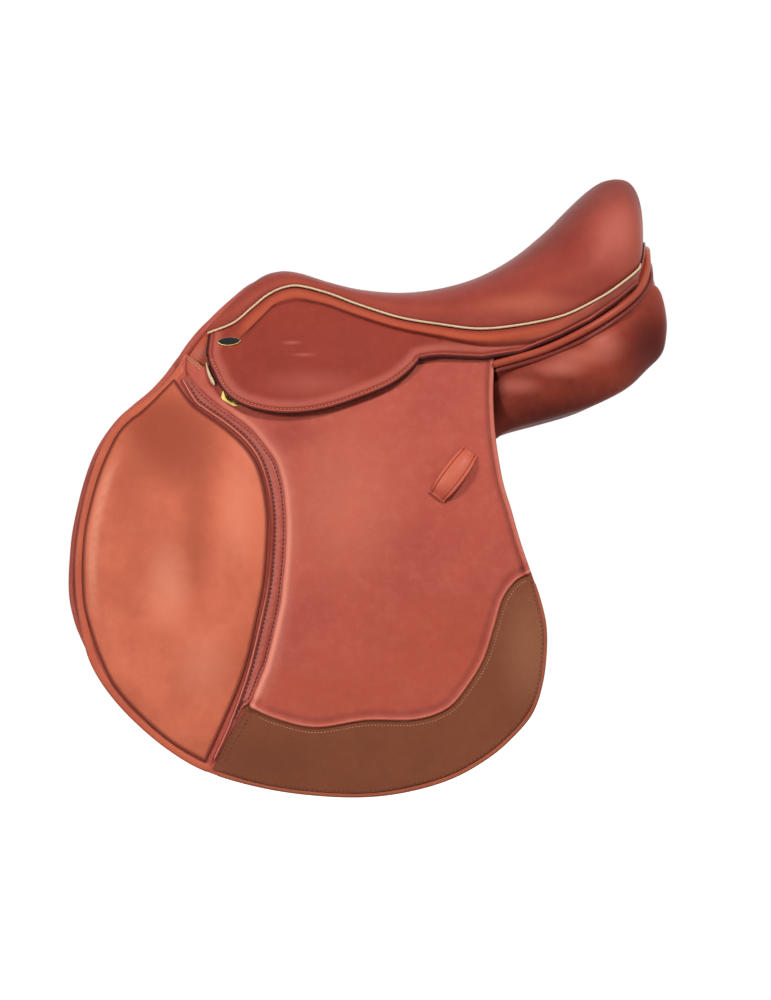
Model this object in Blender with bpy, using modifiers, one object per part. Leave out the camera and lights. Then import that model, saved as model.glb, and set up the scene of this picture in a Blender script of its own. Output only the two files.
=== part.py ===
"""All-purpose riding saddle, built as its separate pieces.

Lengths in this file are millimetres and become metres when a mesh is made.
+X points to the cantle, -X to the pommel, -Y to the rider's near (left) side and +Z up.
The origin lies on the middle plane, under the deepest point of the seat, at the level
where the panels bear on the horse's back.
Points of the near side are written (x, width, z), where width is the distance from the
middle plane, so the off side is the same shape mirrored.
"""

import math

import bmesh
import bpy
import numpy as np
from mathutils import Vector

MM = 0.001
COLLECTION = "all_purpose_saddle"

# The hinge line of the flaps, at the skirt's outer face
HINGE_Z = 80.5
HINGE_OFFSET = 14.5
HINGE_WIDTH = 96.0
HINGE_WIDTH_X = -105.0
HINGE_SPLAY = 0.07

# Layers of the side, measured outwards from the flap's inner face
FLAP = (0.0, 4.0)
FLAP_TRIM = (4.3, 5.5)
WELT = (4.3, 6.8)
SKIRT = (11.0, 14.5)
SWEAT_FLAP = (-18.2, -15.3)
BILLET = (-9.8, -6.6)
GUARD = (-12.6, -3.6)
GUARD_WINDOW = (-11.4, -5.0)
BAR_PLATE = (-25.5, -21.5)
BAR_ARM = (-22.0, -3.0)
BAR_RAIL = (-8.0, -2.0)
CATCH = (-6.5, -3.5)
FORK_SLOT = (-7.0, -3.0)
POCKET = (-24.3, -22.3)
GRID = 40.0
FINE_GRID = GRID / 2
FLAT_GRID = 200.0

# Straps
BILLET_X = (-15.0, 20.0, 55.0)
BILLET_WIDTH = 25.0
BILLET_TOP = 96.0
BILLET_PIVOT_Z = 85.0
BILLET_TIP = -236.0
GUARD_TOP = -58.0
GUARD_BOTTOM = -128.0

# Stirrup bar
BAR_X = -98.0
BAR_Z = 53.0
CATCH_PIVOT = (-56.0, 53.0)
RIVETS = ((-128.0, 67.0), (-74.0, 67.0))

# Front dee and its leather chape
DEE_CENTRE = (-171.0, 45.0)
DEE_HALF = 11.0
DEE_SIDE = 6.0
DEE_DROP = 19.0
DEE_WIRE = 1.4
DEE_BAR_OFFSET = 7.5
DEE_TIP_OFFSET = 6.0
CHAPE = (4.4, 6.4)
CHAPE_LOOP_RADIUS = 2.6
CHAPE_BORE_RADIUS = 1.7

# Seat
COVER_THICKNESS = 2.5
FOAM_DROP = 5.0
FOAM_THICKNESS = 12.0
PIPING_RADIUS = 1.6
PIPING_GAP = 1.4
FACING_RADIUS = 2.9
BAND_THICKNESS = 3.5
GUSSET_THICKNESS = 2.0
# Half length, half height and thickness of the oval nail plate
NAIL_PLATE = (9.5, 3.6, 1.4)

LEATHER_RED = (0.47, 0.098, 0.068)
LEATHER_SEAT = (0.36, 0.062, 0.04)
LEATHER_TAN = (0.62, 0.17, 0.09)
LEATHER_BROWN = (0.22, 0.09, 0.05)
LEATHER_DARK = (0.16, 0.03, 0.02)
CREAM = (0.79, 0.61, 0.38)
BRASS = (0.85, 0.70, 0.30)
STEEL = (0.45, 0.45, 0.46)
BEECH = (0.55, 0.38, 0.22)
WEB = (0.70, 0.64, 0.52)
FOAM = (0.80, 0.76, 0.62)
BLACK = (0.02, 0.02, 0.02)

# Seat seam on the near side, front to back: (x, width, z)
RIM = (
    (-192, 86, 102.5), (-169, 81.5, 112), (-152, 73, 127), (-137, 64.5, 140),
    (-121, 59, 148), (-103, 59, 150), (-74, 70, 142), (-44, 82, 130),
    (-5, 94, 117), (33, 104, 110), (71, 114, 105), (109, 123, 108),
    (148, 128, 116), (176, 125, 129), (201, 113, 145), (226, 88, 167),
    (234, 45, 190), (237, 0, 198),
)
# Middle line of the seat, a point for each point of the seam: (x, z)
SPINE = (
    (-145, 158.5), (-141, 161), (-136, 164.5), (-129, 167),
    (-117, 168), (-101, 165), (-74, 156), (-44, 149),
    (-5, 146), (33, 150), (71, 161), (106, 180),
    (138, 206), (160, 228), (178, 245), (193, 256),
    (205, 260), (214, 260),
)
# How full the seat is between middle line and seam: 1 is a straight slope, 3 nearly a box
FULLNESS = (1.6, 1.8, 2.0, 2.2) + (2.4,) * 14
# Lower edge of the fixed skirt behind the hinge line: (seam point, x, width, z)
BAND_REAR = (
    (8.6, 22, 119.4, 81.5), (9, 34, 119, 77.5), (10, 73, 121, 75.5), (11, 110, 125, 81),
    (12, 148, 128.5, 97), (13, 177, 125, 112), (14, 203, 112, 134), (15, 226, 88.5, 162),
)
BAND_FRONT_X = (-193, -170, -150, -132, -116, -99, -72, -43, -6)

# Outlines of the side's layers: (x, z)
FLAP_OUTLINE = (
    (-209, 79.5), (-193, 79.5), (86, 79.5), (84, 50), (84, 26), (86, -3), (92, -41),
    (100, -69), (108, -98), (118, -128), (126, -151), (132, -178), (132, -206),
    (128, -234), (119, -260), (102, -281), (79, -301), (46, -320), (8, -332),
    (-34, -338), (-81, -337), (-132, -330), (-186, -315), (-224, -294), (-258, -266),
    (-283, -238), (-298, -211), (-305, -183), (-309, -155), (-310, -126), (-308, -93),
    (-301, -55), (-289, -19), (-270, 12), (-244, 37), (-221, 60),
)
KNEE_OUTLINE = (
    (-218, 55), (-246, 31), (-266, 9), (-283, -22), (-294, -57), (-300, -93),
    (-302, -126), (-301, -155), (-297, -183), (-290, -206), (-276, -234), (-252, -261),
    (-220, -288), (-188, -306), (-173, -273), (-158, -238), (-145, -192), (-137, -145),
    (-133, -103), (-136, -65), (-144, -31), (-158, -3), (-183, 21), (-202, 36),
)
PATCH_OUTLINE = (
    (118, -128), (103, -136), (91, -152), (82, -181), (72, -211), (56, -237),
    (32, -255), (-1, -266), (-43, -271), (-90, -270), (-123, -261), (-149, -252),
    (-158, -268), (-170, -289), (-181, -312), (-132, -326), (-81, -333), (-34, -334),
    (8, -327), (44, -316), (77, -297), (100, -277), (116, -256), (125, -233),
    (129, -206), (129, -178), (123, -151),
)
WELT_OUTLINE = (
    (-210, 51), (-197, 38), (-178, 23), (-154, 1), (-139, -27), (-131, -62),
    (-128, -103), (-132, -145), (-140, -192), (-153, -238), (-168, -273), (-182, -303),
    (-178, -305), (-164, -277), (-154, -256), (-145, -248), (-138, -229), (-128, -196),
    (-117, -154), (-113, -119), (-111, -88), (-114, -55), (-125, -28), (-141, -8),
    (-159, 9), (-183, 29), (-197, 42), (-206, 53),
)
SKIRT_OUTLINE = (
    (-192, 79.9), (-191, 74), (-186, 63), (-178, 48), (-165, 35), (-144, 26),
    (-115, 22), (-82, 25), (-49, 35), (-15, 49), (4, 63), (14, 79.9),
)
FRONT_ROLL = (
    (-304, -201), (-311, -187), (-317, -163), (-320, -132), (-319, -103), (-314, -68),
    (-303, -27), (-287, 6), (-262, 33), (-229, 61), (-212, 76),
)
SWEAT_REST = (
    (-290, -221), (-252, -259), (-195, -291), (-138, -310), (-72, -320), (-6, -313),
    (41, -290), (70, -254), (79, -202), (76, -136), (71, -60), (68, -2), (60, 18),
    (40, 24), (-165, 24), (-180, 42), (-204, 72),
)
KNEE_BLOCK_OUTLINE = (
    (-205, 44), (-236, 20), (-262, -8), (-280, -45), (-288, -90), (-286, -130),
    (-270, -140), (-258, -120), (-254, -80), (-244, -40), (-224, -10), (-200, 14),
    (-192, 32),
)
POCKET_OUTLINE = ((-206, 40), (-160, 40), (-162, 14), (-178, 6), (-198, 14))
BAR_PLATE_OUTLINE = ((-152, 74), (-46, 74), (-44, 60), (-62, 38), (-140, 36), (-152, 44))
BAR_ARM_OUTLINE = ((-152, 61), (-140, 61), (-140, 45), (-152, 45))
BAR_RAIL_OUTLINE = ((-152, 61), (-52, 61), (-50, 57), (-50, 49), (-52, 45), (-152, 45))
FORK_SLOT_OUTLINE = ((-63, 70), (-40, 70), (-40, 30), (-63, 30))
SLOT_OUTLINE = ((-158, 65.5), (-34, 65.5), (-34, 38), (-46, 36), (-146, 36), (-158, 44))
KEEPER_PATH = ((29, -57), (61, -14))

# Tree: inner and outer edge of the beech ring, head to cantle: (x, width, z)
TREE_INNER = (
    (-128, 0, 137), (-126, 18, 134), (-118, 34, 128), (-104, 40, 124), (-84, 44, 121),
    (-60, 50, 117), (-30, 56, 112), (0, 62, 108), (40, 72, 103), (85, 80, 108),
    (120, 76, 126), (140, 60, 152), (148, 34, 172), (150, 0, 179),
)
TREE_OUTER = (
    (-152, 0, 137), (-155, 22, 131), (-165, 48, 106), (-180, 83, 32), (-134, 74, 52),
    (-50, 73, 66), (-20, 82, 86), (0, 84, 97), (60, 89, 99), (130, 104, 112),
    (176, 100, 144), (198, 84, 182), (212, 44, 216), (212, 0, 229),
)
TREE_THICKNESS = 8.0

# Panel sections: x, then (width, z) outside top to bottom, then inside bottom to top
PANEL = (
    (-206, (60, 40), (82, 10), (112, -50), (122, -90), (112, -92), (92, -50), (66, 10), (52, 34)),
    (-196, (54, 62), (74, 26), (122, -60), (136, -124), (116, -128), (96, -60), (52, 20), (34, 56)),
    (-150, (50, 76), (74, 30), (125, -60), (142, -140), (122, -146), (100, -60), (54, 24), (34, 66)),
    (-90, (50, 82), (77, 38), (125, -60), (143, -146), (123, -152), (100, -60), (56, 30), (32, 72)),
    (-50, (52, 84), (78, 40), (124, -56), (141, -140), (122, -146), (98, -58), (57, 32), (32, 74)),
    (-20, (60, 86), (88, 44), (123, -50), (139, -130), (120, -136), (98, -52), (58, 34), (32, 76)),
    (40, (66, 84), (92, 62), (106, 20), (126, -60), (108, -66), (90, 0), (58, 36), (32, 72)),
    (80, (70, 82), (100, 64), (114, 30), (112, -14), (96, -10), (76, 14), (54, 36), (32, 68)),
    (100, (72, 80), (116, 68), (128, 46), (112, 2), (92, 6), (72, 18), (50, 34), (32, 64)),
    (140, (72, 92), (122, 80), (134, 56), (116, 14), (92, 16), (70, 28), (50, 42), (32, 76)),
    (184, (70, 112), (118, 100), (130, 74), (112, 32), (90, 34), (68, 46), (48, 60), (32, 94)),
    (216, (64, 134), (98, 124), (112, 98), (100, 56), (80, 58), (62, 68), (46, 80), (34, 112)),
    (240, (56, 150), (78, 146), (90, 122), (84, 84), (68, 84), (56, 92), (44, 102), (38, 128)),
    (255, (56, 132), (64, 130), (70, 118), (68, 104), (62, 103), (55, 106), (50, 112), (50, 122)),
)

ROLL_UPPER = (
    (87, 122, 70), (110, 126, 74), (133, 127, 84.5), (177, 123, 105), (209, 106, 131),
    (228, 78, 161), (239, 45, 183), (243, 0, 191),
)
ROLL_LOWER = (
    (89, 121, 62.5), (112, 126, 66), (138, 127, 76), (181, 123, 96), (215, 104, 123),
    (234, 78, 153), (245, 45, 173), (248, 0, 180),
)
# Leather that closes the back between cantle rolls and panels: (x, width, top z, bottom z)
GUSSET = (
    (225, 79, 149.5, 141.5), (228.5, 72, 154.5, 142), (234, 60, 162, 143.5), (239.5, 45, 170, 144),
    (241.5, 36, 172.5, 144), (242.5, 31, 174, 134), (243.5, 16, 176.5, 134), (244, 0, 177.5, 134),
)
FACING = (
    (-207, 88, 85), (-205.5, 87, 94), (-200.5, 85.5, 101.5), (-195, 83, 109),
    (-190, 77, 116.5), (-179, 60, 131.5), (-167.5, 44, 141), (-157.5, 22, 150), (-149.5, 0, 154.5),
)


def hinge_width(x):
    """Distance of the flap's top from the middle plane."""
    return HINGE_WIDTH + HINGE_SPLAY * (x - HINGE_WIDTH_X)


def side_width(x, z):
    """Distance of the flap's inner face from the middle plane: steep, then hanging."""
    drop = max(HINGE_Z - z, 0.0)
    taper = min(max((x + 150.0) / 240.0, 0.0), 1.0)
    return hinge_width(x) + (70.0 - 25.0 * taper) * (1.0 - math.exp(-drop / 150.0)) + 0.08 * drop


def bar_width(x, z):
    """The flat plane of the stirrup bar, tangent to the side."""
    step = 10.0
    middle = side_width(BAR_X, BAR_Z)
    slope_x = (side_width(BAR_X + step, BAR_Z) - middle) / step
    slope_z = (side_width(BAR_X, BAR_Z + step) - side_width(BAR_X, BAR_Z - step)) / (2 * step)
    return middle + slope_x * (x - BAR_X) + slope_z * (z - BAR_Z)


def near(x, width, z):
    return Vector((x, -width, z)) * MM


def material(name, colour, roughness, metallic=0.0):
    made = bpy.data.materials.get(name) or bpy.data.materials.new(name)
    made.use_nodes = True
    shader = made.node_tree.nodes["Principled BSDF"]
    shader.inputs["Base Color"].default_value = (*colour, 1.0)
    shader.inputs["Roughness"].default_value = roughness
    shader.inputs["Metallic"].default_value = metallic
    made.diffuse_color = (*colour, 1.0)
    return made


def collection(name):
    made = bpy.data.collections.new(name)
    bpy.context.scene.collection.children.link(made)
    return made


def start_scene():
    for obj in list(bpy.data.objects):
        bpy.data.objects.remove(obj, do_unlink=True)
    return collection(COLLECTION), collection("cutters")


PARTS, CUTTERS = start_scene()
FINISH = {
    "flap_leather": material("flap_leather", LEATHER_RED, 0.45),
    "seat_leather": material("seat_leather", LEATHER_SEAT, 0.4),
    "knee_leather": material("knee_leather", LEATHER_TAN, 0.5),
    "patch_leather": material("patch_leather", LEATHER_BROWN, 0.6),
    "panel_leather": material("panel_leather", LEATHER_DARK, 0.3),
    "piping": material("piping", CREAM, 0.6),
    "brass": material("brass", BRASS, 0.25, 1.0),
    "steel": material("steel", STEEL, 0.35, 1.0),
    "beech": material("beech", BEECH, 0.6),
    "webbing": material("webbing", WEB, 0.9),
    "foam": material("foam", FOAM, 0.95),
    "enamel": material("enamel", BLACK, 0.2),
}


def add_part(name, mesh, finish):
    obj = bpy.data.objects.new(name, mesh)
    PARTS.objects.link(obj)
    obj.data.materials.clear()
    obj.data.materials.append(FINISH[finish])
    mesh.shade_smooth()
    mesh.set_sharp_from_angle(angle=math.radians(35))
    return obj


def mesh_from(bm, name):
    bmesh.ops.recalc_face_normals(bm, faces=bm.faces)
    mesh = bpy.data.meshes.new(name)
    bm.to_mesh(mesh)
    bm.free()
    return mesh


def mirrored(obj, name):
    """The off-side copy of a near-side part: its finished shape, mirrored."""
    if obj.modifiers:
        bpy.context.view_layer.update()
        graph = bpy.context.evaluated_depsgraph_get()
        twin = bpy.data.objects.new(name, bpy.data.meshes.new_from_object(obj.evaluated_get(graph)))
    else:
        twin = bpy.data.objects.new(name, obj.data)
    twin.scale = (1.0, -1.0, 1.0)
    PARTS.objects.link(twin)
    return twin


def near_and_off(stem, make):
    """Makes stem_near with the function, and stem_off as its mirror image."""
    first = make(stem + "_near")
    return first, mirrored(first, stem + "_off")


def smooth_through(points, per_span, closed=False):
    """A Catmull-Rom curve through the points, with per_span steps between neighbours."""
    points = np.array(points, float)
    count = len(points)
    spans = count if closed else count - 1
    made = []
    for i in range(spans):
        if closed:
            p = [points[(i + k) % count] for k in (-1, 0, 1, 2)]
        else:
            p = [points[min(max(i + k, 0), count - 1)] for k in (-1, 0, 1, 2)]
        for step in range(per_span):
            t = step / per_span
            made.append(
                0.5 * (2 * p[1] + (p[2] - p[0]) * t
                       + (2 * p[0] - 5 * p[1] + 4 * p[2] - p[3]) * t * t
                       + (3 * p[1] - p[0] - 3 * p[2] + p[3]) * t ** 3)
            )
    if not closed:
        made.append(points[-1])
    return np.array(made)


def at(points, t):
    """The point at parameter t of a smooth curve whose control points sit at 0, 1, 2 ..."""
    points = np.array(points, float)
    last = len(points) - 1
    t = min(max(t, 0.0), last)
    i = min(int(t), last - 1)
    p = [points[min(max(i + k, 0), last)] for k in (-1, 0, 1, 2)]
    u = t - i
    return 0.5 * (2 * p[1] + (p[2] - p[0]) * u
                  + (2 * p[0] - 5 * p[1] + 4 * p[2] - p[3]) * u * u
                  + (3 * p[1] - p[0] - 3 * p[2] + p[3]) * u ** 3)


def inset_path(path, distance):
    """An open (x, z) path moved sideways, to the right of its direction."""
    path = np.array(path, float)
    ahead = np.gradient(path, axis=0)
    ahead /= np.linalg.norm(ahead, axis=1)[:, None]
    return path + distance * np.stack([ahead[:, 1], -ahead[:, 0]], axis=1)


def cutter(name, mesh):
    obj = bpy.data.objects.new(name, mesh)
    CUTTERS.objects.link(obj)
    obj.hide_render = True
    obj.display_type = "WIRE"
    return obj


def boolean(obj, operation, other):
    modifier = obj.modifiers.new(other.name, "BOOLEAN")
    modifier.operation = operation
    modifier.object = other


def prism(name, outline, reach=320.0):
    """A cutter with this (x, z) outline, right through both sides of the saddle."""
    curve = bpy.data.curves.new(name, "CURVE")
    curve.dimensions = "2D"
    curve.fill_mode = "BOTH"
    curve.extrude = reach * MM
    spline = curve.splines.new("POLY")
    spline.points.add(len(outline) - 1)
    for point, (x, z) in zip(spline.points, outline):
        point.co = (x * MM, z * MM, 0.0, 1.0)
    spline.use_cyclic_u = True
    flat = bpy.data.objects.new(name + "_curve", curve)
    CUTTERS.objects.link(flat)
    flat.rotation_euler = (math.radians(90), 0.0, 0.0)
    bpy.context.view_layer.update()
    graph = bpy.context.evaluated_depsgraph_get()
    mesh = bpy.data.meshes.new_from_object(flat.evaluated_get(graph))
    mesh.transform(flat.matrix_world)
    bpy.data.objects.remove(flat, do_unlink=True)
    bm = bmesh.new()
    bm.from_mesh(mesh)
    bmesh.ops.remove_doubles(bm, verts=bm.verts, dist=1e-6)
    bmesh.ops.triangulate(bm, faces=bm.faces)
    bmesh.ops.recalc_face_normals(bm, faces=bm.faces)
    bm.to_mesh(mesh)
    bm.free()
    return cutter(name, mesh)


def slab(name, outline, inner, outer, width=side_width, grid=GRID):
    """A draped plate over the outline's bounding box, between two offsets from the side.

    Its grid lines are the same for every layer, so that stacked layers stay parallel,
    and one of them is the hinge line.
    An offset is a number, or a function of x and z.
    """
    outline = np.array(outline, float)
    datum = np.array((0.0, HINGE_Z))
    low = np.floor((outline.min(axis=0) - datum) / grid) * grid + datum
    steps = np.ceil((outline.max(axis=0) - low) / grid)
    columns, rows = int(round(steps[0])), int(round(steps[1]))
    bm = bmesh.new()
    bmesh.ops.create_grid(bm, x_segments=columns, y_segments=rows, size=0.5)
    for vert in bm.verts:
        x = low[0] + (vert.co.x + 0.5) * columns * grid
        z = low[1] + (vert.co.y + 0.5) * rows * grid
        vert.co = (x, 0.0, z)
    bmesh.ops.triangulate(bm, faces=bm.faces)
    front = list(bm.verts)
    grown = bmesh.ops.extrude_face_region(bm, geom=bm.faces[:])
    back = [g for g in grown["geom"] if isinstance(g, bmesh.types.BMVert)]
    for verts, offset in ((front, inner), (back, outer)):
        for vert in verts:
            x, z = vert.co.x, vert.co.z
            out = offset(x, z) if callable(offset) else offset
            vert.co = near(x, width(x, z) + out, z)
    return mesh_from(bm, name)


def sheet(name, outline, layer, finish, width=side_width, cuts=(), smooth=0, grid=GRID):
    """A leather sheet or plate of the side, cut to its outline."""
    edge = smooth_through(outline, smooth, closed=True) if smooth else outline
    obj = add_part(name, slab(name, edge, layer[0], layer[1], width, grid), finish)
    boolean(obj, "INTERSECT", prism(name + "_outline", edge))
    for cut in cuts:
        boolean(obj, "DIFFERENCE", cut)
    return obj


def loft(name, rings, closed=False):
    """A body through rings of points that correspond; open ones are capped."""
    bm = bmesh.new()
    rows = [[bm.verts.new(point) for point in ring] for ring in rings]
    pairs = list(zip(rows, rows[1:] + rows[:1])) if closed else list(zip(rows, rows[1:]))
    for first, second in pairs:
        for i in range(len(first)):
            j = (i + 1) % len(first)
            bm.faces.new((first[i], first[j], second[j], second[i]))
    if not closed:
        bm.faces.new(rows[0][::-1])
        bm.faces.new(rows[-1])
    return mesh_from(bm, name)


def tube(name, points, radius, finish, resolution=1, closed=False):
    """A cord, roll or ring: a curve with a bevel and filled caps."""
    curve = bpy.data.curves.new(name, "CURVE")
    curve.dimensions = "3D"
    curve.bevel_depth = radius * MM
    curve.bevel_resolution = resolution
    curve.use_fill_caps = not closed
    spline = curve.splines.new("POLY")
    spline.points.add(len(points) - 1)
    for point, place in zip(spline.points, points):
        point.co = (*place, 1.0)
    spline.use_cyclic_u = closed
    obj = bpy.data.objects.new(name, curve)
    PARTS.objects.link(obj)
    curve.materials.append(FINISH[finish])
    return obj


def open_surface(name, rows, finish, thickness, mirror=False, offset=-1.0):
    """A surface through rows of points, thickened with Solidify to a shell."""
    bm = bmesh.new()
    grid = [[bm.verts.new(point) for point in row] for row in rows]
    for a, b in zip(grid, grid[1:]):
        for i in range(len(a) - 1):
            bm.faces.new((a[i], a[i + 1], b[i + 1], b[i]))
    mesh = bpy.data.meshes.new(name)
    bm.to_mesh(mesh)
    bm.free()
    obj = add_part(name, mesh, finish)
    if mirror:
        twin = obj.modifiers.new("mirror", "MIRROR")
        twin.use_axis = (False, True, False)
        twin.merge_threshold = 0.0001
        twin.use_clip = True
    shell = obj.modifiers.new("shell", "SOLIDIFY")
    shell.thickness = thickness * MM
    shell.offset = offset
    shell.use_even_offset = True
    shell.thickness_clamp = 1.0
    return obj


def seat_point(t, s):
    """The seat's outer surface: t runs along the seam, s from the middle line to the seam."""
    seam = at(RIM, t)
    middle = at(SPINE, t)
    power = float(at([(f,) for f in FULLNESS], t)[0])
    rise = max(1.0 - s ** power, 0.0) ** (1.0 / power)
    x = middle[0] + (seam[0] - middle[0]) * s ** 1.3
    z = seam[2] + (middle[1] - seam[2]) * rise
    return np.array((x, seam[1] * s, z))


def seam_outward(t):
    """Unit direction in plan, square to the seam and away from the seat."""
    ahead = at(RIM, min(t + 0.05, 17)) - at(RIM, max(t - 0.05, 0))
    out = np.array((-ahead[1], ahead[0], 0.0))
    return out / np.linalg.norm(out)


def band_edge(t):
    """Lower edge of the fixed skirt: along the hinge line, then rising to the cantle."""
    front = [
        (i, x, hinge_width(x) + HINGE_OFFSET, HINGE_Z + 2.6) for i, x in enumerate(BAND_FRONT_X)
    ]
    keys = np.array(front + list(BAND_REAR), float)
    return np.array([np.interp(t, keys[:, 0], keys[:, k]) for k in (1, 2, 3)])


def band_point(t, v):
    """The fixed skirt's outer surface: v runs from the seam down to the lower edge."""
    taper = min(1.0, (15.0 - t) / 1.5)
    top = at(RIM, t) + seam_outward(t) * 3.0 + np.array((0.0, 0.0, -2.6 - 3.3 * taper))
    bottom = band_edge(t)
    bulge = 3.0 * math.sin(math.pi * v) * taper
    return top + (bottom - top) * v + seam_outward(t) * bulge


def make_tree():
    rows = []
    inner = smooth_through(TREE_INNER, 2)
    outer = smooth_through(TREE_OUTER, 2)
    for a, b in zip(inner, outer):
        middle = (a + b) / 2
        rows.append([near(*b), near(*middle), near(*a)])
    return open_surface("tree", rows, "beech", TREE_THICKNESS, mirror=True, offset=0.0)


def arch_strip(name, path, along, half, thickness, finish):
    """A bent steel strip over the head of the tree, from side to side."""
    near_side = smooth_through(path, 3)
    rows = []
    for x, width, z in near_side:
        rows.append([near(x - half * along[0], width, z - half * along[1]),
                     near(x + half * along[0], width, z + half * along[1])])
    return open_surface(name, rows, finish, thickness, mirror=True, offset=0.0)


def make_head_steels():
    head = ((-142, 0, 144.5), (-144, 18, 141.5), (-148, 34, 131), (-151, 42, 123.5))
    gullet = ((-140, 0, 129.5), (-142, 15, 127.5), (-147, 30, 115), (-153, 42, 97), (-158, 50, 80))
    arch_strip("head_plate", head, (1.0, 0.0), 8.0, 1.6, "steel")
    arch_strip("gullet_plate", gullet, (1.0, 0.15), 9.0, 2.0, "steel")


def make_spring_steel(name):
    """A flat spring under the tree's side rail, from the head to the cantle."""
    inner = smooth_through(TREE_INNER[5:11], 3)
    outer = smooth_through(TREE_OUTER[5:11], 3)
    middle = (inner + outer) / 2
    across = outer - inner
    across /= np.linalg.norm(across, axis=1)[:, None]
    down = np.cross(np.gradient(middle, axis=0), across)
    down /= np.linalg.norm(down, axis=1)[:, None]
    down *= -np.sign(down[:, 2:3])
    rings = []
    for centre, side, under in zip(middle, across, down):
        corners = ((-8, 6.2), (8, 6.2), (8, 7.8), (-8, 7.8))
        rings.append([near(*(centre + side * u + under * v)) for u, v in corners])
    return add_part(name, loft(name, rings), "steel")


def make_webs():
    long_path = smooth_through(((-124, 0, 143.2), (-80, 0, 134.5), (-30, 0, 127.5), (20, 0, 126.5),
                                (70, 0, 134), (110, 0, 152), (140, 0, 174.5), (147, 0, 185.5)), 2)
    rows = [[near(x, 28, z - 0.5), near(x, 0, z)] for x, _, z in long_path]
    open_surface("seat_web_long", rows, "webbing", 1.4, mirror=True, offset=0.0)
    across = ((0, 122.5), (30, 120), (55, 116.5), (74, 112), (88, 107), (93, 102), (93.5, 98))
    rows = [[near(x, width + HINGE_SPLAY * (x - 20) * width / 93.5, z) for width, z in across]
            for x in (-26, 0, 22, 44, 66)]
    open_surface("girth_web", rows, "webbing", 1.4, mirror=True, offset=0.0)


def seat_rows(steps_t, steps_s, t_range, s_max, drop):
    """Rows of points on the seat, moved inwards along the surface's normal by drop."""
    rows = []
    for t in np.linspace(t_range[0], t_range[1], steps_t):
        row = []
        for k in range(steps_s):
            s = s_max * math.sin(math.pi / 2 * k / (steps_s - 1))
            point = seat_point(t, s)
            if drop:
                step = 0.02
                along = seat_point(min(t + step, 17), s) - seat_point(max(t - step, 0), s)
                across = seat_point(t, min(s + step, 1)) - seat_point(t, max(s - step, 0))
                normal = np.cross(across, along)
                normal /= np.linalg.norm(normal)
                if s == 0:
                    normal[1] = 0.0
                    normal /= np.linalg.norm(normal)
                if normal[2] < 0:
                    normal = -normal
                point = point - drop * normal
                if s == 0:
                    point[1] = 0.0
            row.append(near(*point))
        rows.append(row)
    return rows


def make_seat():
    open_surface("seat_cover", seat_rows(21, 6, (0, 17), 1.0, 0.0), "seat_leather",
                 COVER_THICKNESS, mirror=True)
    open_surface("seat_foam", seat_rows(14, 5, (1.6, 15.2), 0.8, FOAM_DROP), "foam",
                 FOAM_THICKNESS, mirror=True)
    path = []
    for t in np.linspace(0.1, 17, 25):
        point = at(RIM, t) + seam_outward(t) * (PIPING_RADIUS + PIPING_GAP) + np.array((0, 0, -0.4))
        if t == 17:
            point[1] = 0.0
        path.append(point)
    near_half = [near(*p) for p in path]
    off_half = [Vector((p.x, -p.y, p.z)) for p in near_half[-2::-1]]
    tube("seat_piping", near_half + off_half, PIPING_RADIUS, "piping")


def full_round(points, per_span):
    """A near-side path and its mirror image, joined on the middle plane."""
    side = [near(*p) for p in smooth_through(points, per_span)]
    return side + [Vector((p.x, -p.y, p.z)) for p in side[-2::-1]]


def make_rolls():
    tube("pommel_facing", full_round(FACING, 2), FACING_RADIUS, "flap_leather", 2)
    tube("cantle_roll_upper", full_round(ROLL_UPPER, 2), 4.0, "flap_leather", 2)
    tube("cantle_roll_lower", full_round(ROLL_LOWER, 2), 1.9, "panel_leather", 1)


def make_gusset():
    rows = [[near(x, width, top), near(x - 1, width, (top + bottom) / 2), near(x - 3, width, bottom)]
            for x, width, top, bottom in GUSSET]
    open_surface("cantle_gusset", rows, "panel_leather", GUSSET_THICKNESS, mirror=True)


def make_band(name):
    rows = []
    for t in np.linspace(0.25, 14.9, 24):
        rows.append([near(*band_point(t, v)) for v in (0.0, 0.5, 1.0)])
    return open_surface(name, rows, "flap_leather", BAND_THICKNESS)


def make_nail_plate(name):
    t, v = 0.75, 0.42
    centre = near(*band_point(t, v))
    ahead = (near(*band_point(t + 0.2, v)) - near(*band_point(t - 0.2, v))).normalized()
    down = (near(*band_point(t, v + 0.1)) - near(*band_point(t, v - 0.1))).normalized()
    out = down.cross(ahead).normalized()
    if out.y > 0:
        out = -out
    bm = bmesh.new()
    bmesh.ops.create_cone(bm, cap_ends=True, segments=20, radius1=1.0, radius2=0.82, depth=1.0)
    for vert in bm.verts:
        x, y, z = vert.co
        along, across, lift = x * NAIL_PLATE[0], y * NAIL_PLATE[1], (z + 1.2) * NAIL_PLATE[2]
        vert.co = centre + (ahead * along + out.cross(ahead) * across + out * lift) * MM
    return add_part(name, mesh_from(bm, name), "enamel")


def make_panel(name):
    rings = [[near(x, width, z) for width, z in points] for x, *points in PANEL]
    obj = add_part(name, loft(name, rings), "panel_leather")
    soft = obj.modifiers.new("cushion", "SUBSURF")
    soft.levels = 1
    soft.render_levels = 1
    return obj


def edge_distance(outline, x, z):
    """Distance from a point to the nearest side of a closed outline."""
    points = np.array(outline, float)
    ends = np.roll(points, -1, axis=0)
    along = ends - points
    share = ((x - points[:, 0]) * along[:, 0] + (z - points[:, 1]) * along[:, 1]) / (along ** 2).sum(axis=1)
    nearest = points + along * np.clip(share, 0, 1)[:, None]
    return float(np.hypot(nearest[:, 0] - x, nearest[:, 1] - z).min())


def crown(outline, low, high, run):
    """An outer offset that is low at the outline and high from run millimetres inside it."""
    def offset(x, z):
        share = min(edge_distance(outline, x, z) / run, 1.0)
        return low + (high - low) * math.sin(share * math.pi / 2)
    return offset


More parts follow.
